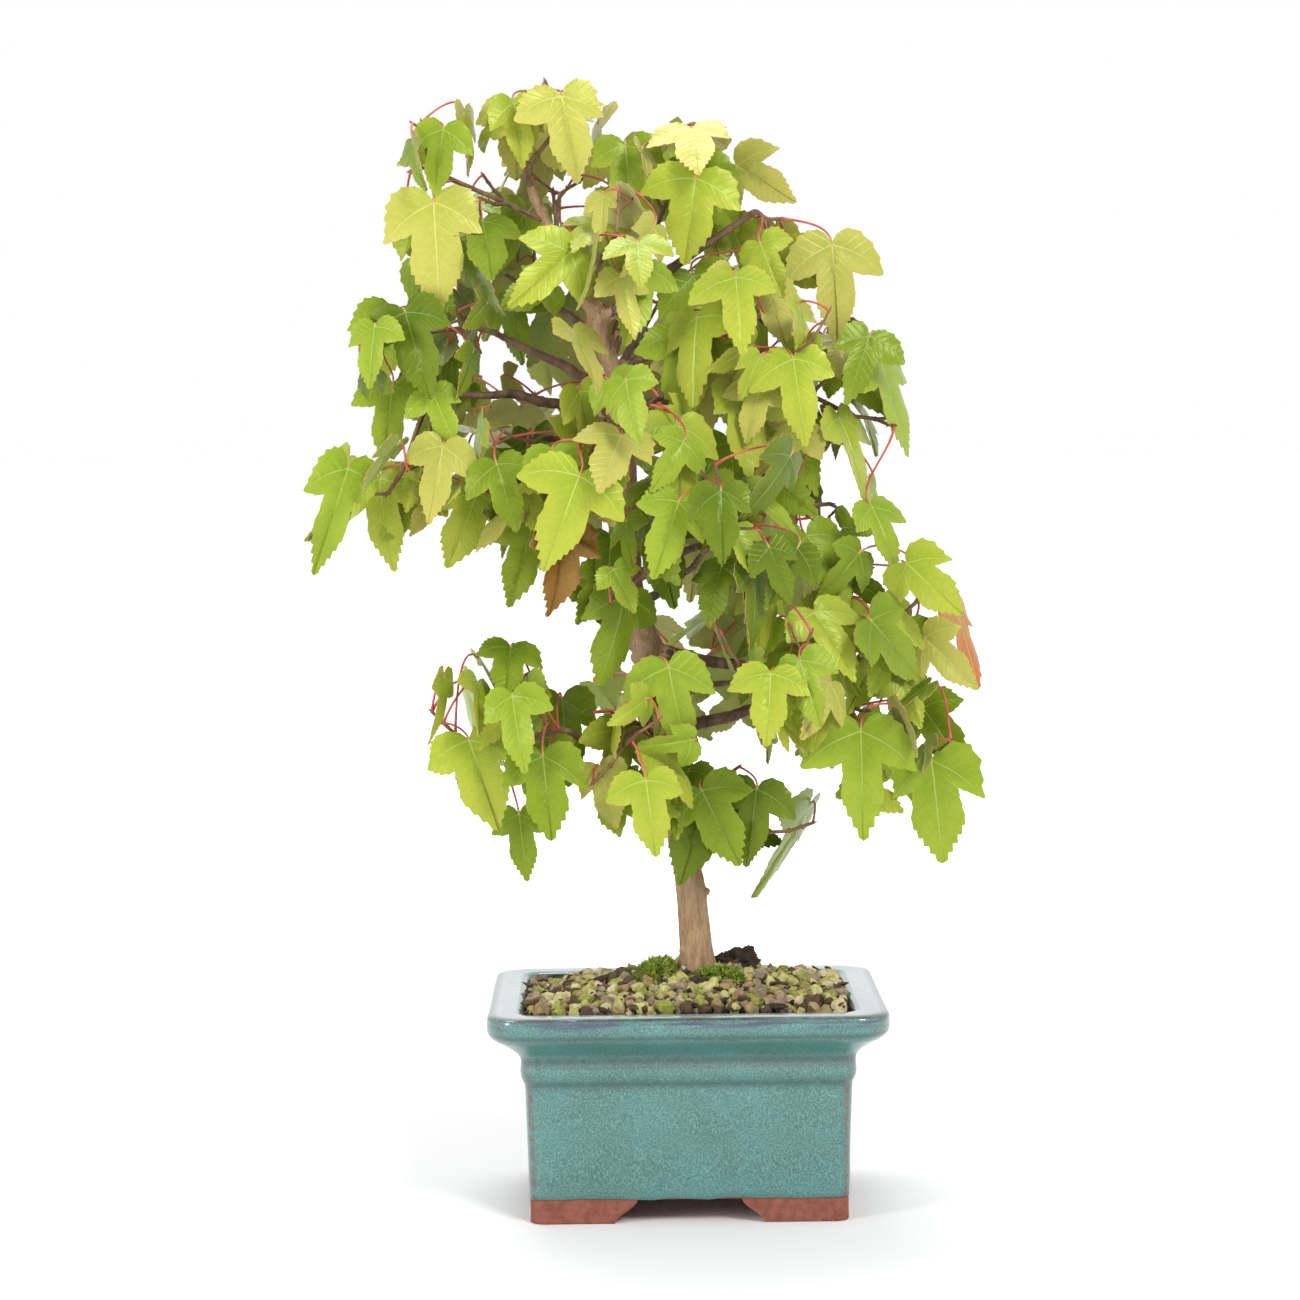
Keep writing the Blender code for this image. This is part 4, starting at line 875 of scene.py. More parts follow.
def grow_twigs(mass, stem, rng, taken):
    """The stem's pairs of side shoots, each pair turned a quarter from the one before."""
    name, carrier, centre, half, leaves, seed = mass
    twigs = [stem]
    length = sum((b - a).length for a, b in zip(stem.path, stem.path[1:]))
    pairs = max(2, round(length / FORK_SPACING))
    spin = rng.uniform(0, 360)
    reach = sum(half) / 3 * SHOOT_REACH
    for pair in range(pairs):
        share = mix(*FORK_PLACES, pair / max(1, pairs - 1))
        for half_turn in (0, 180):
            shoot = side_shoot(stem, share, spin + half_turn, reach, rng, mass)
            if not taken.touches(*past_root(shoot.path, TWIG_RADIUS, TWIG_TIP).shape(CLEAR)):
                twigs.append(shoot)
        spin += 90 + rng.uniform(-15, 15)
    return twigs


class Bud:
    """A place on a shoot that leaves grow from, and the ways that its leaf stalks take."""

    def __init__(self, twig, share):
        self.point, self.way = twig.at(share)
        self.twig, self.share = twig, share
        self.used = []
        self.leaves = []


def buds_of(twigs):
    """The buds of the stem and of its side shoots."""
    buds = []
    for twig in twigs:
        buds += [Bud(twig, share) for share in (STEM_BUDS if twig is twigs[0] else SHOOT_BUDS)]
    return buds


def facing_of(point, rng, wild=1.0):
    """The level way a leaf looks: out of the crown, and on its front half mostly forward."""
    out = Vector(((point.x - AXIS_X) / 90, (point.y - FRONT_OF) / 50, 0))
    front = -1.0 if point.y < FRONT_OF else 1.0
    way = Vector((out.x * 0.55, front * 0.85 + out.y * 0.3, 0))
    turn = math.radians(rng.gauss(0, 22 * wild))
    way = unit(way)
    return Vector((way.x * math.cos(turn) - way.y * math.sin(turn),
                   way.x * math.sin(turn) + way.y * math.cos(turn), 0))


def seen_at(point):
    """Where the front view shows a point, on the upright plane through the trunk."""
    x, y, z = CAMERA_PLACE
    share = y / (y - point.y)
    return Vector((mix(x, point.x, share), mix(z, point.z, share)))


def seen_blade(leaf):
    """The blade's outline as the front view shows it."""
    joint, (length, width, face), size, stalk = leaf
    rim = [*LEAF_OUTLINE, LEAF_TIP, *((u, -v, w) for u, v, w in reversed(LEAF_OUTLINE))]
    return [seen_at(joint + (length * u + width * v + face * w) * size) for u, v, w in rim]


def hides_opening(leaf, openings):
    """Whether a blade covers a place where the crown is open, or a leading leaf's middle."""
    loop = seen_blade(leaf)
    depth = blade_middle(leaf).y
    for x, z, radius, back in openings:
        spot = Vector((x, z))
        if depth < back and (inside(spot, loop) or nearest(spot, loop) < radius):
            return True
    return False


def in_outline(leaf):
    """Whether a blade keeps to the crown's outline."""
    loop = [Vector(p) for p in CROWN_OUTLINE]
    return sum(not inside(spot, loop) for spot in seen_blade(leaf)) <= OUTSIDE_MOST


def open_up(crown, led):
    """Takes the leaves that cover an opening off their buds, apart from the leading ones."""
    openings = list(OPENINGS)
    for name, count in led.items():
        for leaf in crown[name][2][:count]:
            middle = blade_middle(leaf)
            openings.append((*seen_at(middle), leaf[2] * LED_SHARE, middle.y - LED_BEFORE))
    taken = Shapes()
    for mass in MASSES:
        twigs, buds, leaves = crown[mass[0]]
        for leaf in leaves[led[mass[0]]:]:
            if hides_opening(leaf, openings):
                leaves.remove(leaf)
                for bud in buds:
                    bud.leaves = [kept for kept in bud.leaves if kept is not leaf]
        for leaf in leaves:
            taken.add(*leaf_shape(leaf))
    return taken, openings


def has_room(leaf, mass, over, taken, limbs, clear=CLEAR, openings=None):
    """Whether a leaf keeps to its mass's space and touches nothing."""
    if not keeps_to(blade_middle(leaf), mass, over):
        return False
    if openings and (hides_opening(leaf, openings) or not in_outline(leaf)):
        return False
    blade = blade_only(leaf, clear)
    if taken.touches(*blade) or limbs.touches(*blade):
        return False
    stem = stalk_only(leaf, clear * 0.6)
    own = BVHTree.FromPolygons(*blade)
    if own.overlap(BVHTree.FromPolygons(*stem)):
        return False
    return not (taken.touches(*stem) or limbs.touches(*stem))


def join_to_bud(joint, axes, size, buds):
    """The leaf on each bud that its stalk can reach and that has room for it, nearest first."""
    ranked = sorted(buds, key=lambda bud: (bud.point - joint).length)
    for bud in ranked[:6]:
        span = (joint - bud.point).length
        aim = unit(joint - bud.point)
        if not STALK_LEAST < span < STALK_MOST:
            continue
        if any(aim.dot(used) > BUD_SPREAD for used in bud.used) or abs(aim.dot(bud.way)) > 0.93:
            continue
        yield bud, (joint, axes, size, stalk_path(bud.point, bud.way, joint, axes))


def add_leaf(bud, leaf, leaves, taken):
    """Keeps a leaf, and notes the way its stalk takes from its bud."""
    leaves.append(leaf)
    bud.leaves.append(leaf)
    taken.add(*leaf_shape(leaf))
    bud.used.append(unit(leaf[0] - bud.point))


def reaching_shoot(root, joint, taken, limbs):
    """A shoot from a bud towards a leaf's joint, or None where something is in its way."""
    tip = joint + unit(root - joint) * STALK_MOST * REACH_SHARE
    middle = mix(root, tip, 0.5) + Vector((0, 0, 1.5))
    clear = past_root([root, middle, tip], TWIG_RADIUS, TWIG_TIP).shape(CLEAR)
    if taken.touches(*clear) or limbs.touches(*clear):
        return None
    return Twig([root - unit(middle - root) * ROOT_SINK, middle, tip], TWIG_RADIUS, TWIG_TIP)


def grow_to(joint, axes, size, mass, crown, taken, limbs):
    """Grows a leaf at a set joint, on a bud in reach or else on a shoot of its own."""
    twigs, buds, leaves = crown[mass[0]]
    for bud, leaf in join_to_bud(joint, axes, size, buds):
        if has_room(leaf, mass, ANY_SPACE, taken, limbs):
            add_leaf(bud, leaf, leaves, taken)
            return True
    for root in sorted(buds, key=lambda bud: (bud.point - joint).length)[:SHOOT_TRIES]:
        if (root.point - joint).length < STALK_MOST * REACH_SHARE + STALK_LEAST:
            continue
        shoot = reaching_shoot(root.point, joint, taken, limbs)
        if not shoot:
            continue
        shoot.parent, shoot.share = root.twig, root.share
        fresh = [Bud(shoot, 0.6), Bud(shoot, 0.95)]
        for bud, leaf in join_to_bud(joint, axes, size, fresh):
            if has_room(leaf, mass, ANY_SPACE, taken, limbs):
                twigs.append(shoot)
                buds += fresh
                root.used.append(unit(shoot.path[1] - root.point))
                limbs.add(*shoot.shape())
                add_leaf(bud, leaf, leaves, taken)
                return True
    return False


def grow_placed(place, mass, crown, taken, limbs):
    """Grows a leaf that has a place of its own, moved in depth where it has no room there."""
    x, y, z, size, turn, lean, roll = place
    axes = leaf_axes(Vector((0, -1, 0)), turn, lean, roll)
    for shift in DEPTH_SHIFTS:
        if grow_to(Vector((x, y + shift, z)), axes, size, mass, crown, taken, limbs):
            return crown[mass[0]][2][-1]
    return None


def place_leaves(mass, crown, taken, limbs, rng, count, sizes, depths, clear, wild=1.0, openings=None):
    """The rest of a mass's leaves, each as far as it can be from those already there."""
    name, carrier, centre, half, first, seed = mass
    twigs, buds, leaves = crown[name]
    centre = Vector(centre)
    for _ in range(count * 6):
        if len(leaves) >= count:
            break
        best, best_gap = None, -1.0
        for _ in range(LEAF_TRIES // 6):
            out = unit(Vector([rng.gauss(0, 1) for _ in range(3)]))
            depth = rng.uniform(*depths)
            middle = centre + Vector([o * h * depth for o, h in zip(out, half)])
            size = rng.uniform(*sizes)
            facing = facing_of(middle, rng, wild)
            axes = leaf_axes(facing, rng.gauss(0, 24 * wild), rng.uniform(2, 48), rng.gauss(0, 22 * wild))
            joint = middle - axes[0] * size * BLADE_MIDDLE
            gap = min(((blade_middle(other) - middle).length for other in leaves), default=99.0)
            if gap <= best_gap:
                continue
            for bud, leaf in join_to_bud(joint, axes, size, buds):
                if has_room(leaf, mass, SPACE_OVER, taken, limbs, clear, openings):
                    best, best_gap = (bud, leaf), gap
                    break
        if best:
            add_leaf(*best, leaves, taken)


def grow_crown(boughs, limbs):
    """Every mass's shoots and leaves: first all the shoots, then the leading leaves, then the rest."""
    crown = {}
    taken = Shapes()
    for mass in MASSES:
        dice = random.Random(f"{mass[0]} twigs")
        stem = grow_stem(mass, boughs, dice)
        twigs = grow_twigs(mass, stem, dice, limbs)
        for twig in twigs:
            limbs.add(*twig.shape())
        crown[mass[0]] = (twigs, buds_of(twigs), [])
    for mass in MASSES:
        for place in LEADING_LEAVES.get(mass[0], ()):
            grow_placed(place, mass, crown, taken, limbs)
    led = {mass[0]: len(crown[mass[0]][2]) for mass in MASSES}
    for mass in MASSES:
        dice = random.Random(f"{mass[0]} leaves {mass[5]}")
        place_leaves(mass, crown, taken, limbs, dice, mass[4], LEAF_SIZES, LEAF_DEPTHS, CLEAR)
    return crown, *open_up(crown, led)


def grow_finer(crown, taken, limbs, openings):
    """Carries each mass on: a pair of finer shoots on every side shoot, and smaller leaves on them."""
    for mass in MASSES:
        dice = random.Random(f"{mass[0]} finer")
        twigs, buds, leaves = crown[mass[0]]
        for twig in twigs[1:]:
            spin = dice.uniform(0, 360)
            for share, turn in zip(FINE_PLACES, (0, 180)):
                shoot = side_shoot(twig, share, spin + turn, FINE_REACH, dice, mass)
                clear = past_root(shoot.path, FINE_RADIUS, FINE_TIP).shape(FINE_CLEAR)
                if limbs.touches(*clear) or taken.touches(*clear):
                    continue
                shoot.radii = [mix(FINE_RADIUS, FINE_TIP, i / 2) for i in range(3)]
                limbs.add(*shoot.shape())
                twigs.append(shoot)
                buds += [Bud(shoot, share) for share in FINE_BUDS]
    for mass in MASSES:
        dice = random.Random(f"{mass[0]} smaller leaves")
        count = round(mass[4] * (1 + (FINE_SHARE_TOP if mass[2][2] > TOP_FROM else FINE_SHARE)))
        place_leaves(mass, crown, taken, limbs, dice, count, FINE_SIZES, FINE_DEPTHS, FINE_CLEAR,
                     FINE_WILD, openings)


class Batch:
    """Shapes gathered for one piece, each with its finish and its marks."""

    def __init__(self):
        self.verts, self.faces, self.chosen = [], [], []
        self.flat, self.age = [], []

    def add(self, verts, faces, chosen=0, flat=None, age=None):
        first = len(self.verts)
        self.verts += verts
        self.faces += [tuple(first + i for i in face) for face in faces]
        self.chosen += chosen if isinstance(chosen, list) else [chosen] * len(faces)
        self.flat += flat or []
        self.age += age or [0.0] * len(verts)

    def piece(self, name, finishes, sharp=40.0):
        made = new_piece(name, self.verts, self.faces, finishes, self.chosen, sharp)
        if self.flat:
            lay = made.data.uv_layers.new(name="leaf")
            corners = [self.flat[loop.vertex_index] for loop in made.data.loops]
            lay.data.foreach_set("uv", [value for corner in corners for value in corner])
        mark(made, "age", self.age)
        return made


def new_piece(name, verts, faces, finishes, chosen=None, sharp=40.0):
    """A piece in the frame, in metres, from points in millimetres."""
    mesh = bpy.data.meshes.new(name)
    mesh.from_pydata([POT_CENTRE + v * MM for v in verts], [], faces)
    for finish in finishes:
        mesh.materials.append(finish)
    if chosen:
        mesh.polygons.foreach_set("material_index", chosen)
    made = bpy.data.objects.new(name, mesh)
    bpy.context.scene.collection.objects.link(made)
    mesh.shade_smooth()
    mesh.set_sharp_from_angle(angle=math.radians(sharp))
    return made


def mark(made, name, values):
    """Keeps one value for each point of a piece, for its material to read."""
    made.data.attributes.new(name, "FLOAT", "POINT").data.foreach_set("value", values)


def hand_in(made, nodes):
    """Puts a finished piece on the plant's body, in place of its nodes."""
    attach(made, "root")
    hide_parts(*nodes)


def node(tree, kind, inputs=None, **settings):
    """A node with its settings and inputs. An input's value may be another node's output."""
    made = tree.nodes.new(kind)
    for name, value in settings.items():
        setattr(made, name, value)
    for name, value in (inputs or {}).items():
        if isinstance(value, bpy.types.NodeSocket):
            tree.links.new(value, made.inputs[name])
        else:
            made.inputs[name].default_value = value
    return made


def blend(tree, share, a, b, way="MIX"):
    """The colour a share of the way from a to b."""
    a, b = [(*c, 1.0) if isinstance(c, tuple) and len(c) == 3 else c for c in (a, b)]
    return node(tree, "ShaderNodeMix", {0: share, 6: a, 7: b}, data_type="RGBA",
                blend_type=way).outputs[2]


def maths(tree, way, a, b=0.0, c=0.0):
    """One sum of two or three values."""
    return node(tree, "ShaderNodeMath", {0: a, 1: b, 2: c}, operation=way).outputs[0]


def times(tree, a, b):
    """The product of two values."""
    return maths(tree, "MULTIPLY", a, b)


def ramp(tree, value, low, high, start=0.0, end=1.0):
    """A value that goes from start to end as another goes from low to high."""
    return node(tree, "ShaderNodeMapRange", {"Value": value, "From Min": low, "From Max": high,
                                             "To Min": start, "To Max": end}).outputs[0]


def new_group(name, inputs, outputs):
    """An empty shader group with its sockets."""
    tree = bpy.data.node_groups.new(name, "ShaderNodeTree")
    for label, value in inputs:
        kind = "NodeSocketVector" if isinstance(value, tuple) else "NodeSocketFloat"
        socket = tree.interface.new_socket(label, in_out="INPUT", socket_type=kind)
        socket.default_value = value
    for label in outputs:
        tree.interface.new_socket(label, in_out="OUTPUT", socket_type="NodeSocketFloat")
    return tree, tree.nodes.new("NodeGroupInput"), tree.nodes.new("NodeGroupOutput")


def patches_group():
    """Soft patches on a piece's own place: where noise lies between two levels."""
    tree, given, out = new_group(
        "patches",
        (("Stretch", (1.0, 1.0, 1.0)), ("Scale", 100.0), ("Detail", 3.0), ("From", 0.4), ("To", 0.6)),
        ("Mask",))
    place = node(tree, "ShaderNodeTexCoord").outputs["Object"]
    drawn = node(tree, "ShaderNodeVectorMath", {0: place, 1: given.outputs["Stretch"]},
                 operation="MULTIPLY").outputs[0]
    grain = node(tree, "ShaderNodeTexNoise", {"Vector": drawn, "Scale": given.outputs["Scale"],
                                              "Detail": given.outputs["Detail"]})
    level = ramp(tree, grain.outputs[0], given.outputs["From"], given.outputs["To"])
    tree.links.new(level, out.inputs["Mask"])
    return tree


def leaf_places_group():
    """Where a point of a leaf is: on one of the side veins that leave the nearest main vein at a
    slant, and how far it is towards the edge."""
    tree, given, out = new_group("leaf_places", (("Spacing", 0.1), ("Width", 0.14)), ("Lines", "Edge"))
    flat = node(tree, "ShaderNodeSeparateXYZ", {0: node(tree, "ShaderNodeUVMap").outputs[0]})
    along, across = flat.outputs[0], maths(tree, "ABSOLUTE", flat.outputs[1])
    c, s = math.cos(LOBE_ANGLE), math.sin(LOBE_ANGLE)
    lobe_along = maths(tree, "ADD", times(tree, along, c), times(tree, across, s))
    lobe_side = maths(tree, "SUBTRACT", times(tree, across, c), times(tree, along, s))
    lobe_across = maths(tree, "ABSOLUTE", lobe_side)
    in_lobe = maths(tree, "LESS_THAN", lobe_across, across)
    ahead = node(tree, "ShaderNodeMix", {0: in_lobe, 2: along, 3: lobe_along}).outputs[0]
    aside = node(tree, "ShaderNodeMix", {0: in_lobe, 2: across, 3: lobe_across}).outputs[0]
    slanted = maths(tree, "SUBTRACT", ahead, times(tree, aside, 0.9))
    wave = maths(tree, "PINGPONG", slanted, times(tree, given.outputs["Spacing"], 0.5))
    width = times(tree, given.outputs["Spacing"], given.outputs["Width"])
    edge = maths(tree, "MULTIPLY_ADD", ahead, 0.85, times(tree, aside, 2.2))
    tree.links.new(ramp(tree, wave, 0.0, width, 1.0, 0.0), out.inputs["Lines"])
    tree.links.new(ramp(tree, edge, 0.12, 0.75), out.inputs["Edge"])
    return tree


def grouped(tree, group, output, **inputs):
    """A group placed in a tree with its own values."""
    made = node(tree, "ShaderNodeGroup", node_tree=group)
    for name, value in inputs.items():
        socket = made.inputs[name]
        if isinstance(value, bpy.types.NodeSocket):
            tree.links.new(value, socket)
        else:
            socket.default_value = value
    return made.outputs[output]


def new_finish(name, roughness, **plain):
    """A material, its tree and its surface shader."""
    made = bpy.data.materials.new(name)
    made.use_nodes = True
    tree = made.node_tree
    shader = tree.nodes["Principled BSDF"]
    shader.inputs["Roughness"].default_value = roughness
    for label, value in plain.items():
        shader.inputs[label.replace("_", " ")].default_value = value
    return made, tree, shader


def attribute(tree, name):
    """A value kept on the piece's points."""
    return node(tree, "ShaderNodeAttribute", attribute_name=name).outputs["Fac"]


def bump(tree, shader, height, strength, depth):
    """Gives a surface fine relief, its depth in millimetres."""
    made = node(tree, "ShaderNodeBump", {"Height": height, "Strength": strength, "Distance": depth * MM})
    tree.links.new(made.outputs[0], shader.inputs["Normal"])


def colour_in(tree, shader, colour):
    tree.links.new(colour, shader.inputs["Base Color"])


def leaf_finish(name, inner, outer, shine, groups):
    """A leaf's surface: its tint, which turns towards the edge, mottled, with paler side veins."""
    patches, places = groups
    made, tree, shader = new_finish(name, shine, Specular_IOR_Level=0.45, Specular_Tint=LEAF_SHEEN)
    pale = tuple(min(0.9, c * 1.2 + 0.03) for c in inner)
    cloud = grouped(tree, patches, "Mask", Scale=120.0, From=0.3, To=0.7)
    where = node(tree, "ShaderNodeGroup", node_tree=places)
    turn = maths(tree, "MULTIPLY_ADD", cloud, 0.5, maths(tree, "SUBTRACT", where.outputs["Edge"], 0.25))
    body = blend(tree, maths(tree, "MAXIMUM", turn, 0.0), inner, outer)
    lines = times(tree, where.outputs["Lines"], 0.3)
    shade = grouped(tree, patches, "Mask", Scale=700.0, From=0.3, To=0.7)
    body = blend(tree, times(tree, shade, 0.16), body, tuple(c * 0.5 for c in inner))
    colour_in(tree, shader, blend(tree, lines, body, pale))
    relief = maths(tree, "SUBTRACT", times(tree, shade, 0.4), where.outputs["Lines"])
    bump(tree, shader, relief, 0.5, 0.12)
    return made


def plain_finish(name, dark, light, roughness, patches, scale, stretch=(1.0, 1.0, 1.0), relief=0.2):
    """A surface between two colours, with relief of the same grain."""
    made, tree, shader = new_finish(name, roughness)
    large = grouped(tree, patches, "Mask", Scale=scale, Stretch=stretch, From=0.35, To=0.65)
    fine = grouped(tree, patches, "Mask", Scale=scale * 4.1, Stretch=stretch, From=0.3, To=0.7)
    both = maths(tree, "MULTIPLY_ADD", large, 0.65, times(tree, fine, 0.35))
    colour_in(tree, shader, blend(tree, both, dark, light))
    bump(tree, shader, both, 0.6, relief)
    return made


def twig_finish(patches):
    """Young bark: brown wood that turns olive and then reddish towards each shoot's tip."""
    made, tree, shader = new_finish("young_bark", 0.6)
    age = attribute(tree, "age")
    streak = grouped(tree, patches, "Mask", Scale=260.0, Stretch=(1.0, 1.0, 0.35), From=0.35, To=0.7)
    wood = blend(tree, streak, WOOD_DARK, WOOD_LIGHT)
    green = blend(tree, streak, SHOOT_DARK, SHOOT_LIGHT)
    shoot = blend(tree, ramp(tree, age, 0.15, 0.6), wood, green)
    colour_in(tree, shader, blend(tree, ramp(tree, age, 0.6, 1.0), shoot, SHOOT_TIP))
    bump(tree, shader, streak, 0.6, 0.2)
    return made


def stalk_finish(patches):
    """A leaf stalk: red, and yellower where it meets the leaf."""
    made, tree, shader = new_finish("leaf_stalk", 0.45)
    age = attribute(tree, "age")
    uneven = grouped(tree, patches, "Mask", Scale=110.0, From=0.35, To=0.65)
    red = blend(tree, uneven, STALK_RED, STALK_ROSE)
    colour_in(tree, shader, blend(tree, ramp(tree, age, 0.7, 1.1), red, STALK_GREEN))
    bump(tree, shader, uneven, 0.3, 0.1)
    return made


def bark_finish(patches):
    """Old bark: tan with darker fissures that run up the trunk, and small dark lenticels."""
    made, tree, shader = new_finish("old_bark", 0.82)
    streak = grouped(tree, patches, "Mask", Scale=520.0, Stretch=(1.0, 1.0, 0.16), From=0.36, To=0.62)
    broad = grouped(tree, patches, "Mask", Scale=120.0, Stretch=(1.0, 1.0, 0.4), From=0.35, To=0.65)
    spots = grouped(tree, patches, "Mask", Scale=900.0, Stretch=(1.0, 1.0, 1.8), From=0.62, To=0.7)
    hollow = attribute(tree, "hollow")
    base = blend(tree, broad, BARK_BROWN, BARK_TAN)
    base = blend(tree, times(tree, streak, 0.55), base, BARK_PALE)
    base = blend(tree, times(tree, spots, 0.5), base, BARK_SPOT)
    colour_in(tree, shader, blend(tree, hollow, base, BARK_DARK))
    bump(tree, shader, maths(tree, "SUBTRACT", streak, times(tree, spots, 0.5)), 0.7, 0.25)
    return made


def glaze_finish(patches):
    """Teal glaze: mottled and speckled, brown where it thins on edges, dark where it runs, with painted
    shade in bands under the ledges and a pale painted reflection on the rim's top.
    """
    made, tree, shader = new_finish("teal_glaze", 0.35, Coat_Weight=1.0, Coat_Roughness=0.05,
                                    Coat_IOR=1.6)
    cloud = grouped(tree, patches, "Mask", Scale=40.0, Detail=5.0, From=0.3, To=0.7)
    speck = grouped(tree, patches, "Mask", Scale=2300.0, Stretch=(1.0, 1.0, 0.6), Detail=2.0,
                    From=0.42, To=0.7)
    dots = grouped(tree, patches, "Mask", Scale=1700.0, Detail=1.0, From=0.56, To=0.7)
    drawn = grouped(tree, patches, "Mask", Scale=420.0, Stretch=(0.14, 0.14, 1.0), From=0.44, To=0.6)
    uneven = grouped(tree, patches, "Mask", Scale=330.0, From=0.3, To=0.75)
    base = blend(tree, cloud, GLAZE_TEAL, GLAZE_SEA)
    base = blend(tree, times(tree, speck, 0.5), base, GLAZE_PALE)
    base = blend(tree, times(tree, dots, 0.7), base, GLAZE_DEEP)
    # A painted reflection of the light on the rim's top.
    rim_reflection = times(tree, attribute(tree, "rim_reflection"), maths(tree, "MULTIPLY_ADD", uneven, 0.2, 0.6))
    base = blend(tree, rim_reflection, base, GLAZE_RIM_REFLECTION)
    # Painted shade in bands under the lip and ledges.
    band_shade = times(tree, attribute(tree, "band_shade"), maths(tree, "MULTIPLY_ADD", uneven, 0.4, 0.5))
    base = blend(tree, band_shade, base, GLAZE_DEEP)
    run = times(tree, attribute(tree, "run"), drawn)
    base = blend(tree, run, base, GLAZE_INK)
    thin = times(tree, attribute(tree, "thin"), maths(tree, "MULTIPLY_ADD", uneven, 1.1, 0.1))
    colour_in(tree, shader, blend(tree, maths(tree, "MINIMUM", thin, 1.0), base, GLAZE_BROWN))
    bump(tree, shader, cloud, 0.3, 0.2)
    return made


def rounded_ring(inset, z, corner):
    """The pot's rounded rectangle, so far in from the rim's edge, at a height, and for each
    point how near it is to the middle of a corner."""
    half_x, half_y = POT_LENGTH / 2 - inset - corner, POT_DEPTH / 2 - inset - corner
    shares = [k / CORNER_STEPS for k in range(CORNER_STEPS + 1)]
    arcs = []
    for quarter, (sx, sy) in enumerate(((1, 1), (-1, 1), (-1, -1), (1, -1))):
        turns = [compass(90 * (quarter + share)) * corner for share in shares]
        arcs.append([Vector((sx * half_x, sy * half_y, z)) + turn for turn in turns])
    points, near = [], []
    for arc, ahead in zip(arcs, arcs[1:] + arcs[:1]):
        points += arc + [mix(arc[-1], ahead[0], k / SIDE_STEPS) for k in range(1, SIDE_STEPS)]
        near += [math.exp(-((share - 0.5) / CORNER_SPREAD) ** 2) for share in shares]
        near += [0.0] * (SIDE_STEPS - 1)
    return points, near


def lofted(rings):
    """A closed shape through rings of equal count, capped at both ends."""
    return [p for ring in rings for p in ring], tube_faces(len(rings), len(rings[0]))


def near_height(z, places):
    """How near a height is to any of some places, each with its half width."""
    return max(math.exp(-((z - at) / half) ** 2) for at, half in places)


def cut_out(target, verts, faces):
    """Cuts a helper shape out of a piece."""
    tool = new_piece("cutter", verts, faces, [target.data.materials[0]])
    cut = target.modifiers.new("cut", "BOOLEAN")
    cut.operation = "DIFFERENCE"
    cut.solver = "EXACT"
    cut.object = tool
    set_shape(target)
    bpy.data.objects.remove(tool)


def set_shape(made):
    """Applies a piece's modifiers."""
    graph = bpy.context.evaluated_depsgraph_get()
    final = bpy.data.meshes.new_from_object(made.evaluated_get(graph))
    made.modifiers.clear()
    made.data = final


def arch_shape(half_width, along, reach):
    """A tunnel of the arch's ogee outline under the pot, along X or along Y."""
    rows = [(half_width + 1.0, -2.0)]
    for k in range(ARCH_STEPS + 1):
        t = k / ARCH_STEPS
        bend = 0.5 - 0.5 * math.cos(math.pi * t)
        rows.append((half_width - ARCH_SHOULDER * bend, FOOT_HEIGHT * t))
    outline = [(-w, z) for w, z in rows] + [(w, z) for w, z in reversed(rows)]
    verts = []
    for end in (-reach, reach):
        for w, z in outline:
            verts.append(Vector((w, end, z)) if along == "Y" else Vector((end, -w, z)))
    return verts, tube_faces(2, len(outline))


def make_glazed_body(finish):
    """The pot above its glaze line: walls, ledge, cove, lip and rim, and the inside."""
    outside = smooth_path([Vector((inset, 0, z)) for inset, z in POT_OUTSIDE], 4)
    inside = smooth_path([Vector((inset, 0, z)) for inset, z in POT_INSIDE[:-1]], 3)
    rings, thin, band_shade, run, rim_reflection = [], [], [], [], []

    def add_ring(inset, z, corner, outer):
        points, near = rounded_ring(inset, z, corner)
        rings.append(points)
        height = z
        for point, at_corner in zip(points, near):
            sway = noise.noise(point * 0.05) * GLAZE_SWAY
            if z < GLAZE_LINE + 2.0:
                point.z += noise.noise(point * 0.09 + Vector((9, 0, 0))) * 1.1
            flat = Vector((point.x, point.y, 0))
            point += unit(flat) * sway
            edge = near_height(height, THIN_EDGES) if outer else 0.0
            on_wall = 1.0 if outer and height < WALL_TOP else 0.35
            thin.append(max(edge, at_corner * on_wall if outer else 0.0))
            band_shade.append(near_height(height, GLAZE_SHADE_BANDS) if outer else 0.0)
            run.append(near_height(height, RUN_BAND) if outer else 0.0)
            # Where the rim's top gets its painted reflection.
            rim_reflection.append(1.0 if height > RIM_REFLECTION_FROM else 0.0)

    for inset in (FOOT_WALL + 8.0, 1.2):
        add_ring(POT_OUTSIDE[0][0] + inset, GLAZE_LINE + 1.5, POCKET_CORNER, False)
    add_ring(POT_OUTSIDE[0][0] + 0.3, GLAZE_LINE + 0.1, FOOT_CORNER, True)
    for p in outside:
        add_ring(p.x, p.z, POT_CORNER - CORNER_SHRINK * p.x, True)
    from_inset, to_inset = INSIDE_EASE
    for p in inside:
        eased = min(1.0, (p.x - from_inset) / (to_inset - from_inset))
        add_ring(p.x, p.z, mix(POT_CORNER - CORNER_SHRINK * p.x, INSIDE_CORNER, eased), False)
    made = new_piece("pot_glazed_body", *lofted(rings), [finish], sharp=60.0)
    for name, values in (("thin", thin), ("band_shade", band_shade), ("run", run), ("rim_reflection", rim_reflection)):
        mark(made, name, values)
    hand_in(made, ["pot"])


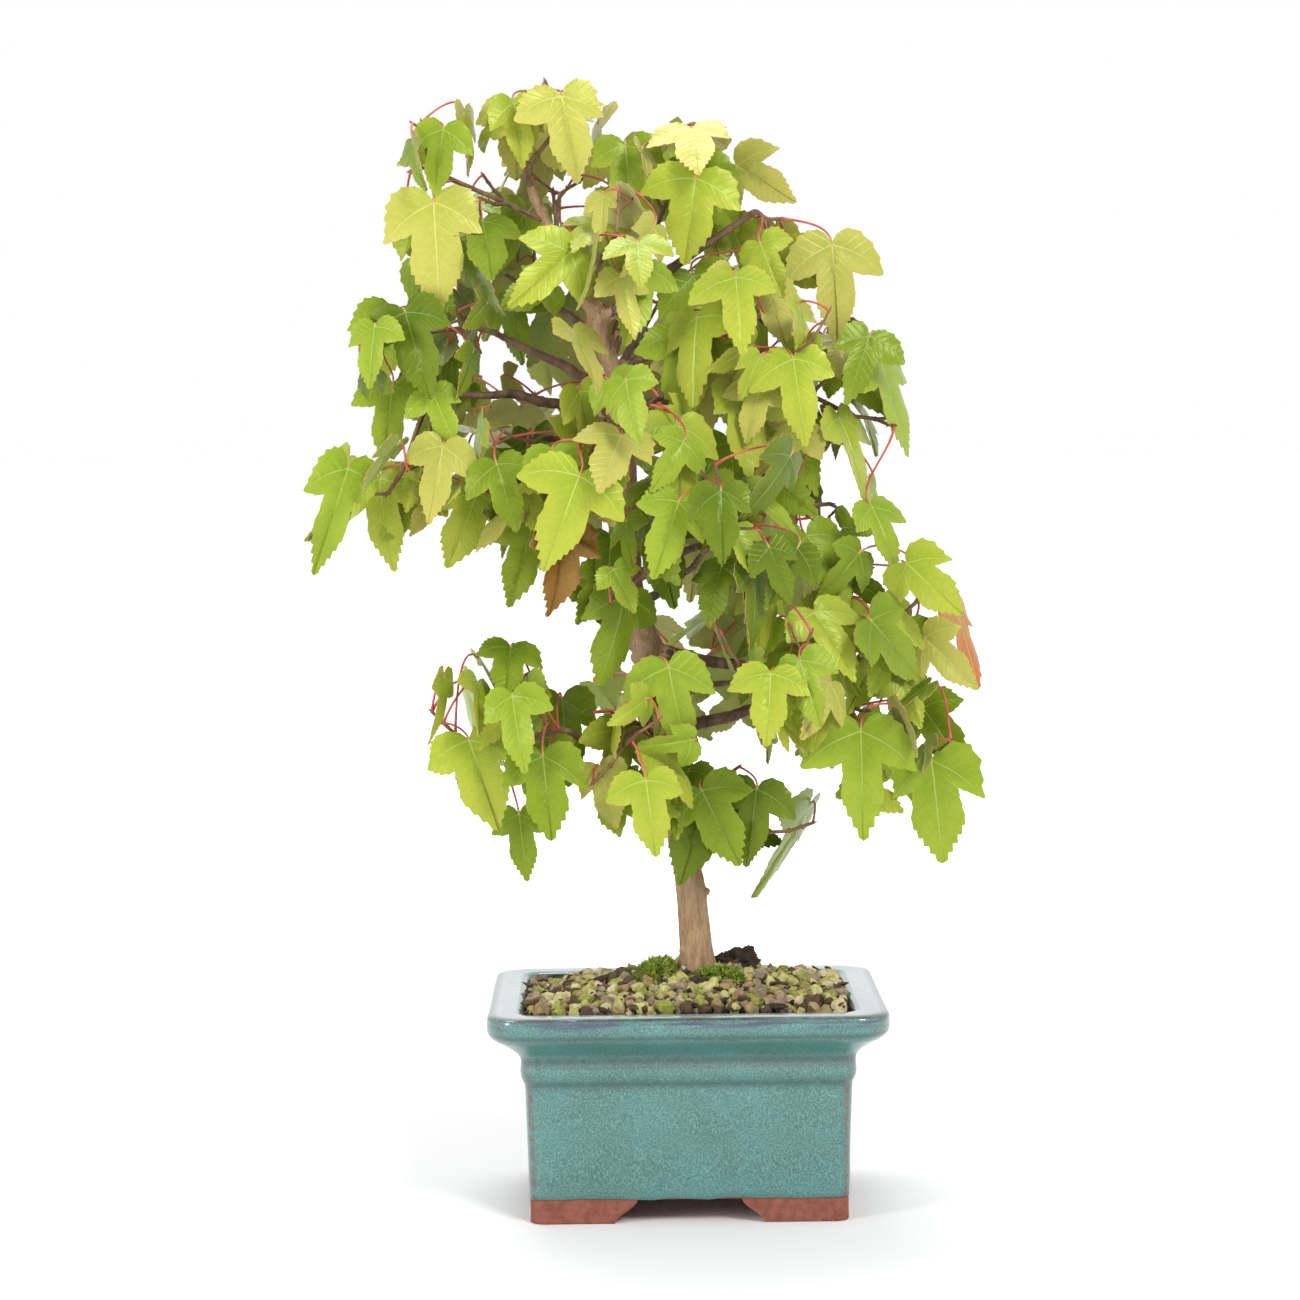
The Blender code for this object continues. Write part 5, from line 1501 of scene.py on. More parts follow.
def make_clay_feet(finish):
    """The bare clay under the glaze line: four feet, with ogee arches between them."""
    rings = [rounded_ring(inset, z, FOOT_CORNER)[0] for inset, z in FOOT_OUTSIDE]
    made = new_piece("pot_clay_feet", *lofted(rings), [finish])
    pocket = [rounded_ring(POT_OUTSIDE[0][0] + FOOT_WALL, z, POCKET_CORNER)[0]
              for z in (-2.0, FLOOR_UNDERSIDE)]
    cut_out(made, *lofted(pocket))
    cut_out(made, *arch_shape(ARCH_FRONT, "Y", POT_DEPTH))
    cut_out(made, *arch_shape(ARCH_SIDE, "X", POT_LENGTH))
    for side in (-1, 1):
        path = [Vector((side * HOLE_PLACE, 0, z)) for z in HOLE_ENDS]
        cut_out(made, *tube(path, [HOLE_RADIUS] * 2, 24))
    worn = made.modifiers.new("worn edges", "BEVEL")
    worn.width = 0.5 * MM
    worn.segments = 2
    worn.limit_method = "ANGLE"
    worn.angle_limit = math.radians(50)
    set_shape(made)
    made.data.shade_smooth()
    made.data.set_sharp_from_angle(angle=math.radians(35))
    hand_in(made, ["pot"])


def soil_height(x, y):
    """The soil's height: a mound round the trunk, a dip at the back left and a swell at the clod."""
    dx, dy = x - FOOT_X, y
    out = math.hypot(dx, dy)
    mound = math.exp(-((dx / MOUND_X) ** 2 + (dy / MOUND_Y) ** 2))
    height = SOIL_EDGE + (FOOT_Z - SOIL_EDGE) * mound
    for at_x, at_y, half_x, half_y, rise in (SOIL_DIP, SOIL_CLOD):
        height += rise * math.exp(-(((x - at_x) / half_x) ** 2 + ((y - at_y) / half_y) ** 2))
    level = max(0.0, min(1.0, (out - LEVEL_SPOT) / LEVEL_SPOT))
    return mix(FOOT_Z, height, level)


def soil_rings(sink):
    """Rings of the soil's top, from the pot's wall to the trunk's foot."""
    edge, _ = rounded_ring(SOIL_INSET, 0, SOIL_CORNER)
    rings = []
    for i in range(SOIL_RINGS):
        share = mix(1.0, 0.04, i / (SOIL_RINGS - 1))
        ring = []
        for point in edge:
            x, y = mix(FOOT_X, point.x, share), point.y * share
            rough = noise.noise(Vector((x, y, 3.0)) * 0.2) * 0.7
            ring.append(Vector((x, y, soil_height(x, y) - sink + rough)))
        rings.append(ring)
    return rings


def make_soil_bed(finish):
    """The dark earth that shows between the granules."""
    low = rounded_ring(SOIL_INSET + 4.0, SOIL_FLOOR, SOIL_CORNER)[0]
    made = new_piece("soil_bed", *lofted([low] + soil_rings(SOIL_SINK)), [finish])
    hand_in(made, ["soil"])


def crumb(name, stretch, roughness, seed, finish):
    """One small irregular shape about a unit across, for scattering."""
    mesh = bpy.data.meshes.new(name)
    shape = bmesh.new()
    bmesh.ops.create_icosphere(shape, subdivisions=2, radius=0.5)
    for vert in shape.verts:
        bumpy = noise.noise(vert.co * 2.3 + Vector((seed * 7.1, 0, 0))) * roughness
        vert.co = Vector([c * s for c, s in zip(vert.co * (1 + bumpy), stretch)])
    shape.to_mesh(mesh)
    shape.free()
    mesh.materials.append(finish)
    return bpy.data.objects.new(name, mesh)


def tuft(name, blades, seed, finish):
    """A moss tuft about a unit high: a few short pointed blades that spread from one root."""
    dice = random.Random(seed)
    verts, faces = [], []
    for i in range(blades):
        way = compass(360 * i / blades + dice.uniform(-25, 25), dice.uniform(38, 85))
        side = unit(way.cross(Vector((0, 0, 1))))
        up = way.cross(side)
        first = len(verts)
        reach = dice.uniform(0.7, 1.1)
        for k in range(3):
            a = 2 * math.pi * k / 3
            verts.append((side * math.cos(a) + up * math.sin(a)) * 0.16)
        verts += [v + way * reach * 0.5 for v in verts[first:first + 3]]
        verts.append(way * reach)
        for k in range(3):
            a, b = first + k, first + (k + 1) % 3
            faces += [(a, b, b + 3, a + 3), (a + 3, b + 3, first + 6)]
        faces.append((first + 2, first + 1, first))
    mesh = bpy.data.meshes.new(name)
    mesh.from_pydata(verts, [], faces)
    mesh.materials.append(finish)
    return bpy.data.objects.new(name, mesh)


def scatter_tree(name, finishes):
    """Geometry nodes that scatter small shapes over a surface, each in one of the finishes."""
    tree = bpy.data.node_groups.new(name, "GeometryNodeTree")
    sockets = (("Surface", "Geometry"), ("Shapes", "Collection"), ("Spacing", "Float"),
               ("Smallest", "Float"), ("Largest", "Float"), ("Lift", "Float"), ("Tumble", "Float"),
               ("Seed", "Int"))
    for label, kind in sockets:
        tree.interface.new_socket(label, in_out="INPUT", socket_type="NodeSocket" + kind)
    tree.interface.new_socket("Scattered", in_out="OUTPUT", socket_type="NodeSocketGeometry")
    given = tree.nodes.new("NodeGroupInput").outputs
    spread = node(tree, "GeometryNodeDistributePointsOnFaces",
                  {"Mesh": given["Surface"], "Distance Min": given["Spacing"], "Seed": given["Seed"],
                   "Density Max": SCATTER_DENSITY}, distribute_method="POISSON")
    rise = node(tree, "FunctionNodeRandomValue", {2: 0.0, 3: given["Lift"], "Seed": given["Seed"]})
    offset = node(tree, "ShaderNodeVectorMath", {0: spread.outputs["Normal"], "Scale": rise.outputs[1]},
                  operation="SCALE")
    lifted = node(tree, "GeometryNodeSetPosition", {"Geometry": spread.outputs["Points"],
                                                    "Offset": offset.outputs[0]})
    tint = node(tree, "FunctionNodeRandomValue", {4: 0, 5: len(finishes) - 1, "Seed": given["Seed"]},
                data_type="INT")
    dyed = node(tree, "GeometryNodeStoreNamedAttribute", {"Geometry": lifted.outputs[0], "Name": "tint",
                                                          "Value": tint.outputs[2]}, data_type="INT")
    back = times(tree, given["Tumble"], -1.0)
    low = node(tree, "ShaderNodeCombineXYZ", {0: back, 1: back, 2: -math.pi})
    high = node(tree, "ShaderNodeCombineXYZ", {0: given["Tumble"], 1: given["Tumble"], 2: math.pi})
    turn = node(tree, "FunctionNodeRandomValue", {0: low.outputs[0], 1: high.outputs[0],
                                                  "Seed": given["Seed"]}, data_type="FLOAT_VECTOR")
    turned = node(tree, "FunctionNodeRotateRotation", {"Rotation": spread.outputs["Rotation"],
                                                       "Rotate By": turn.outputs[0]},
                  rotation_space="LOCAL")
    size = node(tree, "FunctionNodeRandomValue", {2: given["Smallest"], 3: given["Largest"],
                                                  "Seed": given["Seed"]})
    shapes = node(tree, "GeometryNodeCollectionInfo", {"Collection": given["Shapes"],
                                                       "Separate Children": True, "Reset Children": True})
    laid = node(tree, "GeometryNodeInstanceOnPoints",
                {"Points": dyed.outputs[0], "Instance": shapes.outputs[0], "Pick Instance": True,
                 "Rotation": turned.outputs[0], "Scale": size.outputs[1]})
    flow = node(tree, "GeometryNodeRealizeInstances", {"Geometry": laid.outputs[0]}).outputs[0]
    for k, finish in enumerate(finishes):
        which = node(tree, "GeometryNodeInputNamedAttribute", {"Name": "tint"}, data_type="INT")
        same = node(tree, "FunctionNodeCompare", {2: which.outputs[0], 3: k}, data_type="INT",
                    operation="EQUAL")
        flow = node(tree, "GeometryNodeSetMaterial", {"Geometry": flow, "Selection": same.outputs[0],
                                                      "Material": finish}).outputs[0]
    tree.links.new(flow, tree.nodes.new("NodeGroupOutput").inputs[0])
    return tree


def scatter(name, surface, tree, shapes, **sizes):
    """A piece of small shapes scattered over a surface, in millimetres."""
    verts, faces = surface
    made = new_piece(name, verts, faces, [])
    group = bpy.data.collections.new(name + "_shapes")
    for shape in shapes:
        group.objects.link(shape)
    spread = made.modifiers.new("scatter", "NODES")
    spread.node_group = tree
    values = {"Shapes": group}
    for label, value in sizes.items():
        values[label] = value if label in ("Seed", "Tumble") else value * MM
    for socket in tree.interface.items_tree:
        if socket.in_out == "INPUT" and socket.name in values:
            spread[socket.identifier] = values[socket.name]
    set_shape(made)
    for shape in shapes:
        bpy.data.objects.remove(shape)
    bpy.data.collections.remove(group)
    return made


def open_surface(rings):
    """A surface through rings, open at its edge and at its middle."""
    verts, faces = lofted(rings)
    return verts, faces[:-2]


def on_moss(point):
    """Whether a point of the soil's top is under a moss cushion."""
    return any(math.hypot((point.x - x) / half_x, (point.y - y) / half_y) < 0.95
               for name, x, y, half_x, half_y, height in MOSS)


def make_clod(finish):
    """A dark lump of old root soil behind the trunk's foot."""
    shape = bmesh.new()
    bmesh.ops.create_icosphere(shape, subdivisions=5, radius=1.0)
    centre = Vector((CLOD_X, CLOD_Y, soil_height(CLOD_X, CLOD_Y)))
    for vert in shape.verts:
        coarse = noise.noise(vert.co * 1.7) * 0.4
        fine = noise.noise(vert.co * 4.5) * 0.22 + noise.noise(vert.co * 13.0) * 0.12
        vert.co = centre + Vector([c * s for c, s in zip(vert.co * (1 + coarse + fine), CLOD_HALF)])
    verts = [vert.co.copy() for vert in shape.verts]
    faces = [tuple(vert.index for vert in face.verts) for face in shape.faces]
    shape.free()
    hand_in(new_piece("soil_clod", verts, faces, [finish]), ["soil"])


def make_soil_grains(finishes):
    """Granules of clay and grit in two sizes, and dark bits of bark among them."""
    verts, faces = open_surface(soil_rings(0.0))
    top = verts, [face for face in faces if not on_moss(verts[face[0]])]
    layers = (
        ("soil_granules", 4.3, 4.2, 7.6, 1.4, (1.0, 0.82, 0.7), 0.55, 11, finishes[:-1]),
        ("soil_grit", 2.3, 1.5, 3.2, 1.6, (1.0, 0.86, 0.7), 0.7, 12, finishes[3:]),
    )
    for name, spacing, least, most, lift, stretch, rough, seed, tints in layers:
        tree = scatter_tree(name + "_scatter", tints)
        shapes = [crumb(f"{name}_{i}", stretch, rough, seed + i * 3, finishes[0]) for i in range(6)]
        made = scatter(name, top, tree, shapes, Spacing=spacing, Smallest=least, Largest=most,
                       Lift=lift, Tumble=math.pi, Seed=seed)
        hand_in(made, ["soil"])
    bits = [crumb(f"bark_bit_{i}", (1.0, 0.34, 0.22), 0.5, 40 + i, finishes[-1]) for i in range(4)]
    made = scatter("soil_bark_bits", top, scatter_tree("bark_scatter", finishes[-2:]), bits, Spacing=9.0,
                   Smallest=4.5, Largest=9.0, Lift=3.0, Tumble=0.5, Seed=21)
    hand_in(made, ["soil"])


def make_moss(name, x, y, half_x, half_y, height, finishes):
    """A moss cushion: a low dome that follows the soil, covered in short tufts."""
    rings = []
    for share, rise in MOSS_DOME:
        ring = []
        for k in range(24):
            a = math.radians(15 * k)
            wide = 1 + 0.16 * noise.noise(compass(15 * k) * 1.7 + Vector((x, 0, 0)))
            px = x + half_x * share * wide * math.cos(a)
            py = y + half_y * share * wide * math.sin(a)
            ring.append(Vector((px, py, soil_height(px, py) - 0.6 + height * MOSS_RISE * rise)))
        rings.append(ring)
    dome = new_piece(name + "_cushion", *lofted(rings), finishes[:1])
    hand_in(dome, [name])
    shapes = [tuft(f"{name}_tuft_{i}", 6, i + 1, finishes[0]) for i in range(4)]
    made = scatter(name + "_tufts", open_surface(rings), scatter_tree(name + "_scatter", finishes), shapes,
                   Spacing=0.85, Smallest=1.5, Largest=3.5, Lift=0.5, Tumble=0.5, Seed=5)
    hand_in(made, [name])


def bark_tube(path, radii, sides, steps, every, seed, tip_age=0.0):
    """A limb with raised rings at its nodes and fine lengthwise wrinkles, and its points' age."""
    fine = smooth_path(path, steps)
    run, ages, thick = 0.0, [], []
    lengths = [0.0]
    for a, b in zip(fine, fine[1:]):
        run += (b - a).length
        lengths.append(run)
    offset = (seed * 0.37) % 1.0 * every
    for i, length in enumerate(lengths):
        place = i / steps
        low = min(int(place), len(radii) - 2)
        radius = mix(radii[low], radii[low + 1], place - low)
        from_node = abs((length + offset) % every - every / 2)
        swell = NODE_SWELL * math.exp(-((from_node / NODE_HALF) ** 2))
        thick.append(radius * (1 + swell))
        ages += [tip_age * length / run] * sides

    def wrinkles(centre, angle):
        way = Vector((math.cos(angle) * 1.8, math.sin(angle) * 1.8, centre.z * 0.25 + seed * 5.3))
        return WRINKLE * noise.noise(way + Vector((centre.x, centre.y, 0)) * 0.25)

    verts, faces = tube(fine, thick, sides, None, wrinkles)
    return verts, faces, ages


def bud_shape(root, way, size):
    """A small pointed bud."""
    path = [root - way * size * 0.2, root + way * size * 0.35, root + way * size]
    return tube(path, [size * 0.16, size * 0.24, size * 0.03], 6)


def trunk_relief(point):
    """How far the bark stands out at a point, and how deep in a fissure the point lies."""
    drawn = Vector((point.x, point.y, point.z * 0.1))
    ridge = abs(noise.noise(drawn * 1.1)) * 1.3
    fine = noise.noise(Vector((point.x * 2.6, point.y * 2.6, point.z * 0.4)))
    slow = noise.noise(Vector((point.x * 0.16, point.y * 0.16, point.z * 0.09)))
    across = noise.noise(Vector((point.x * 0.5, point.y * 0.5, point.z * 1.2)))
    out = (0.3 - ridge) * RIDGE_DEPTH + fine * 0.1 + slow * 0.3 + across * 0.08
    return out, min(1.0, max(0.0, 0.2 - ridge) * 2.2)


def make_trunk(boughs, finish):
    """The trunk, with its healed stubs, its collars where boughs leave, and its relief."""
    base = [Vector((x, y, z)) for z, x, y, r in TRUNK]
    path = smooth_path(base, 4)
    radii = []
    for i in range(len(path)):
        low = min(i // 4, len(TRUNK) - 2)
        radii.append(mix(TRUNK[low][3], TRUNK[low + 1][3], i / 4 - low))
    path = [path[0] - Vector((0, 0, 2.0))] + path
    radii = [radii[0] * 1.08] + radii
    group = Batch()
    group.add(*tube(path, radii, 32, Vector((1, 0, 0)), root_ridge))
    for height, way, rise, length, radius in STUBS:
        centre, thick = station(height)
        ahead = compass(way, rise)
        stub = [centre, centre + ahead * (thick * 0.8), centre + ahead * (thick + length * 0.8),
                centre + ahead * (thick + length)]
        group.add(*tube(stub, [radius * 0.9, radius * 1.15, radius * 0.85, radius * 0.35], 16))
    for name, (way, thick) in boughs.items():
        start = foot_of(name)
        reach = min(6.0, (way[1] - way[0]).length)
        collar = [start, mix(start, way[0], 0.6), way[0], way[0] + unit(way[1] - way[0]) * reach]
        group.add(*tube(collar, [thick[0] * share for share in COLLAR], 12))
    for height, side, size in WARTS:
        centre, thick = station(height)
        place = centre + compass(side) * thick * 0.8
        group.add(*tube([place - compass(side) * size, place + compass(side) * size * 0.2,
                         place + compass(side) * size * 0.7], [size * 0.7, size, size * 0.4], 10))
    made = new_piece("trunk_bark", group.verts, group.faces, [finish])
    fuse = made.modifiers.new("fuse", "REMESH")
    fuse.mode = "VOXEL"
    fuse.voxel_size = TRUNK_GRAIN * MM
    set_shape(made)
    mesh = made.data
    hollow, moved = [], []
    for vert in mesh.vertices:
        out, deep = trunk_relief((vert.co - POT_CENTRE) / MM)
        moved.append(vert.co + vert.normal * out * MM)
        hollow.append(deep)
    for vert, place in zip(mesh.vertices, moved):
        vert.co = place
    mesh.shade_smooth()
    mark(made, "hollow", hollow)
    hand_in(made, ["trunk"])


def foot_of(name):
    """The point inside the trunk that a bough grows from."""
    row = next(row for row in BOUGHS if row[0] == name)
    return station(row[1])[0]


def make_boughs(boughs, finish):
    """Each bough with its own bark, grown out of the trunk's collar."""
    for k, (name, (path, radii)) in enumerate(boughs.items()):
        whole = [mix(foot_of(name), path[0], 0.45)] + path
        verts, faces, ages = bark_tube(whole, [radii[0] * 1.1] + radii, 14, 10, 8.5, k + 1, 0.25)
        made = new_piece("bark_" + name, verts, faces, [finish])
        mark(made, "age", ages)
        hand_in(made, ["bough_" + name])


def reach_of(twigs, buds):
    """How far along itself each shoot that bears anything is needed, from its tip back."""
    used = {}
    for twig in reversed(twigs):
        shares = [bud.share for bud in buds if bud.twig is twig and bud.leaves]
        shares += [other.share for other in used if other.parent is twig]
        if shares:
            used[twig] = max(shares)
    return used


def stem_root(mass, twig, boughs):
    """The point inside what a stem grows from."""
    carrier = mass[1]
    if isinstance(carrier, str):
        path = boughs[carrier][0]
        return path[-1] - unit(path[-1] - path[-2]) * 1.5
    if carrier >= TRUNK[-1][0]:
        return station(carrier)[0] - Vector((0, 0, 1.5))
    return mix(station(carrier)[0], twig.path[0], 0.3)


def make_twigs(crown, boughs, finishes):
    """Every shoot that bears leaves, with its nodes, and small red buds beside the leaf stalks."""
    shoots, red = Batch(), Batch()
    for mass in MASSES:
        twigs, buds, leaves = crown[mass[0]]
        used = reach_of(twigs, buds)
        for k, twig in enumerate(t for t in twigs if t in used):
            count = 10 if twig is twigs[0] else 4
            path = [twig.at(used[twig] * i / count)[0] for i in range(count + 1)]
            radii = [mix(twig.radii[0], twig.radii[-1], used[twig] * i / count) for i in range(count + 1)]
            start = 0.45
            if twig is twigs[0]:
                path = [stem_root(mass, twig, boughs)] + path
                radii = [radii[0] * 1.25] + radii
                start = 0.25
            verts, faces, ages = bark_tube(path, radii, 8, 3, NODE_EVERY, k + len(buds), 1.0)
            shoots.add(verts, faces, age=[start + (1 - start) * a for a in ages])
            red.add(*bud_shape(path[-1], unit(path[-1] - path[-2]), BUD_SIZE * 1.4))
        for bud in buds:
            if bud.twig in used and bud.share < used[bud.twig]:
                side = unit(bud.way.orthogonal())
                for turn in (1, -1):
                    red.add(*bud_shape(bud.point + side * turn * 0.5, unit(side * turn + bud.way), BUD_SIZE))
    nodes = ["foliage_" + mass[0] for mass in MASSES]
    hand_in(shoots.piece("twigs", finishes[:1]), nodes)
    hand_in(red.piece("buds", finishes[1:]), nodes)


def make_stalks(crown, finish):
    """The red leaf stalks, thicker where they leave the shoot."""
    group = Batch()
    count = 10
    for twigs, buds, leaves in crown.values():
        for bud, leaf in ((bud, leaf) for bud in buds for leaf in bud.leaves):
            joint, axes, size, stalk = leaf
            path = stalk_path(bud.point, bud.way, joint, axes, [i / count for i in range(count + 1)])
            thick = [STALK_THICK * (1 + 0.7 * math.exp(-i / 0.8)) for i in range(count + 1)]
            thick[-1] = STALK_THICK * 1.3
            path.append(joint + axes[0] * size * 0.03 - axes[2] * 0.2)
            thick.append(STALK_THICK * 0.5)
            ages = [i / count for i in range(count + 2) for _ in range(6)]
            group.add(*tube(path, thick, 6), age=ages)
    nodes = ["foliage_" + mass[0] for mass in MASSES]
    hand_in(group.piece("leaf_stalks", [finish]), nodes)


def along_path(path, share):
    """The point a share of the way along a path's length, and its heading."""
    lengths = [(b - a).length for a, b in zip(path, path[1:])]
    left = share * sum(lengths)
    for (a, b), length in zip(zip(path, path[1:]), lengths):
        if left <= length or b is path[-1]:
            return mix(a, b, min(1.0, left / length)), unit(b - a)
        left -= length


def toothed(span, teeth, depth, towards_tip):
    """A stretch of a leaf's edge with its teeth, which point to the lobe's tip."""
    path = smooth_path([Vector((u, v, 0)) for u, v in span], 6)
    points = []
    for k in range(teeth):
        points.append(along_path(path, k / teeth)[0])
        peak, way = along_path(path, (k + (0.74 if towards_tip else 0.26)) / teeth)
        fade = depth * min(1.0, 0.4 + 0.6 * math.sin(math.pi * (k + 0.5) / teeth))
        points.append(peak + Vector((-way.y, way.x, 0)) * fade)
    return points


def vein_line(vein, mirror=1):
    """A main vein's middle line in the flat leaf."""
    return smooth_path([Vector((u, v * mirror, 0)) for u, v in vein], 4)


def vein_half(share):
    """Half a main vein's width, so far along it."""
    return mix(VEIN_HALF, VEIN_HALF * VEIN_TAPER, share)


def leaf_pattern(seed):
    """A flat leaf: its points, its triangles, and which of them lie on a main vein."""
    dice = random.Random(f"leaf pattern {seed}")
    halves = []
    for side in (1, -1):
        half = []
        for span, teeth, size, towards_tip in LEAF_EDGE:
            count = max(1, teeth + dice.choice((-1, 0, 0, 1)))
            half += toothed(span, count, TOOTH_DEPTH * size * dice.uniform(0.7, 1.3), towards_tip)
        halves.append([Vector((p.x, p.y * side)) for p in half])
    edge = halves[0] + [Vector((1.0, 0.0))] + list(reversed(halves[1][1:]))
    edge.reverse()
    points = list(edge)
    lines = []
    for vein in MAIN_VEINS:
        for mirror in ((1,) if vein is MAIN_VEINS[0] else (1, -1)):
            spine = vein_line(vein, mirror)
            first = len(points)
            for side in (1, -1):
                for k, point in enumerate(spine):
                    way = unit(spine[min(k + 1, len(spine) - 1)] - spine[max(k - 1, 0)])
                    half = vein_half(k / (len(spine) - 1))
                    points.append(Vector((point.x - way.y * half * side, point.y + way.x * half * side)))
            count = len(spine)
            lines += [(first + side * count + k, first + side * count + k + 1)
                      for side in (0, 1) for k in range(count - 1)]
    spines = points[len(edge):]
    from_u, from_v = GRID_START
    rows = int(GRID_REACH / (LEAF_GRAIN * GRID_ROW))
    for row in range(rows):
        for col in range(rows + 2):
            spot = Vector((from_u + row * LEAF_GRAIN * GRID_ROW, from_v + (col + row % 2 / 2) * LEAF_GRAIN))
            spot += Vector((dice.uniform(-GRID_SHAKE, GRID_SHAKE), dice.uniform(-GRID_SHAKE, GRID_SHAKE)))
            if inside(spot, edge) and min(nearest(spot, edge), nearest(spot, spines)) > GRID_CLEAR:
                points.append(spot)
    flat, _, faces, _, _, _ = delaunay_2d_cdt(points, lines, [list(range(len(edge)))], 1, 1e-5)
    veins = [in_vein(sum((flat[i] for i in face), Vector((0, 0))) / 3) for face in faces]
    return flat, faces, veins


def inside(spot, loop):
    """Whether a flat point lies inside a loop."""
    within = False
    for a, b in zip(loop, loop[1:] + loop[:1]):
        if (a.y > spot.y) != (b.y > spot.y) and spot.x < (b.x - a.x) * (spot.y - a.y) / (b.y - a.y) + a.x:
            within = not within
    return within


def nearest(spot, points):
    return min((spot - p).length for p in points)


def in_vein(spot):
    """Whether a flat point of the leaf lies on a main vein."""
    for vein in MAIN_VEINS:
        spine = vein_line(vein)
        here = Vector((spot.x, abs(spot.y), 0))
        for k, (a, b) in enumerate(zip(spine, spine[1:])):
            share = max(0.0, min(1.0, (here - a).dot(b - a) / (b - a).length_squared))
            half = vein_half((k + share) / (len(spine) - 1))
            if (here - mix(a, b, share)).length < half * VEIN_INSIDE:
                return True
    return False


class LeafForm:
    """How one leaf differs from its pattern, and how it bends out of its flat."""

    def __init__(self, dice, dried=False, slim=1.0):
        self.reach = [dice.uniform(0.80, 1.08) for _ in range(2)]
        self.sweep = [math.radians(dice.uniform(-24, 7)) for _ in range(2)]
        self.breadth = dice.uniform(0.88, 1.25)
        self.slim = slim
        self.fold = dice.uniform(0.04, 0.26)
        self.droop = dice.uniform(0.02, 0.2)
        self.curl = [dice.uniform(0.2, 0.55) for _ in range(2)]
        self.twist = dice.uniform(-0.22, 0.22)
        self.wave = dice.uniform(0.008, 0.022)
        self.phase = dice.uniform(0, 6.28)
        if dried:
            self.fold, self.droop, self.curl, self.wave = 0.95, 0.5, [1.1, 0.9], 0.06

    def bent(self, flat):
        """A point of the pattern where this leaf has it: along, across and out."""
        side = 0 if flat.y > 0 else 1
        radius, angle = flat.length, math.atan2(abs(flat.y), flat.x)
        lobe = math.exp(-((angle - LOBE_ANGLE) / LOBE_SPREAD) ** 2)
        radius *= 1 + (self.reach[side] - 1) * lobe
        angle += self.sweep[side] * lobe
        u, v = radius * math.cos(angle), radius * math.sin(angle)
        v *= mix(self.breadth, 1.0, lobe)
        out = self.fold * v - self.droop * u * abs(u) - self.curl[side] * v * v
        v *= self.slim if side == 0 else -self.slim
        out += self.twist * u * v
        out += self.wave * math.sin(9 * angle + self.phase + side * 2) * radius * 1.4
        out += 0.01 * noise.noise(Vector((u * 7, v * 7, self.phase)))
        return u, v, out


def grown_leaf(leaf, pattern, form, tint):
    """A leaf as a thin closed shell, with its finishes and its flat places."""
    joint, (length, width, face), size, stalk = leaf
    flat, faces, veins = pattern
    count = len(flat)
    top, low, places = [], [], []
    for spot in flat:
        u, v, out = form.bent(spot)
        point = joint + (length * u + width * v + face * out) * size
        top.append(point + face * LEAF_HALF_THICK)
        low.append(point - face * LEAF_HALF_THICK)
        places.append((spot.x, spot.y))
    edges = [pair for face_at in faces for pair in zip(face_at, face_at[1:] + face_at[:1])]
    known = set(edges)
    rim = [(a, b) for a, b in edges if (b, a) not in known]
    shapes = list(faces)
    shapes += [tuple(count + i for i in reversed(face_at)) for face_at in faces]
    shapes += [(b, a, a + count, b + count) for a, b in rim]
    chosen = [tint * 3 + (1 if vein else 0) for vein in veins]
    chosen += [tint * 3 + 2] * len(faces)
    chosen += [len(TINTS) * 3] * len(rim)
    return top + low, shapes, chosen, places * 2


def tint_of(mass_name, index, dice):
    """The tint of one leaf of a spray."""
    own = OWN_TINTS.get(mass_name, ())
    if index < len(own):
        return own[index]
    tints = [t for t, share in SPRAY_TINTS.get(mass_name, MIDDLE) for _ in range(share)]
    return dice.choice(tints)


def make_leaves(crown, finishes, dried):
    """All the leaves, in one piece for each storey of the crown."""
    patterns = [leaf_pattern(seed) for seed in range(LEAF_PATTERNS)]
    names = list(TINTS)
    for storey, members in STOREYS.items():
        group = Batch()
        for mass_name in members:
            dice = random.Random(f"{mass_name} leaf forms")
            for index, leaf in enumerate(crown[mass_name][2]):
                tint = "dried" if leaf is dried else tint_of(mass_name, index, dice)
                form = LeafForm(dice, tint == "dried", SLIM.get((mass_name, index), 1.0))
                verts, faces, chosen, places = grown_leaf(leaf, dice.choice(patterns), form,
                                                          names.index(tint))
                group.add(verts, faces, chosen, places)
        made = group.piece("leaves_" + storey, finishes, sharp=50.0)
        hand_in(made, ["foliage_" + name for name in members])


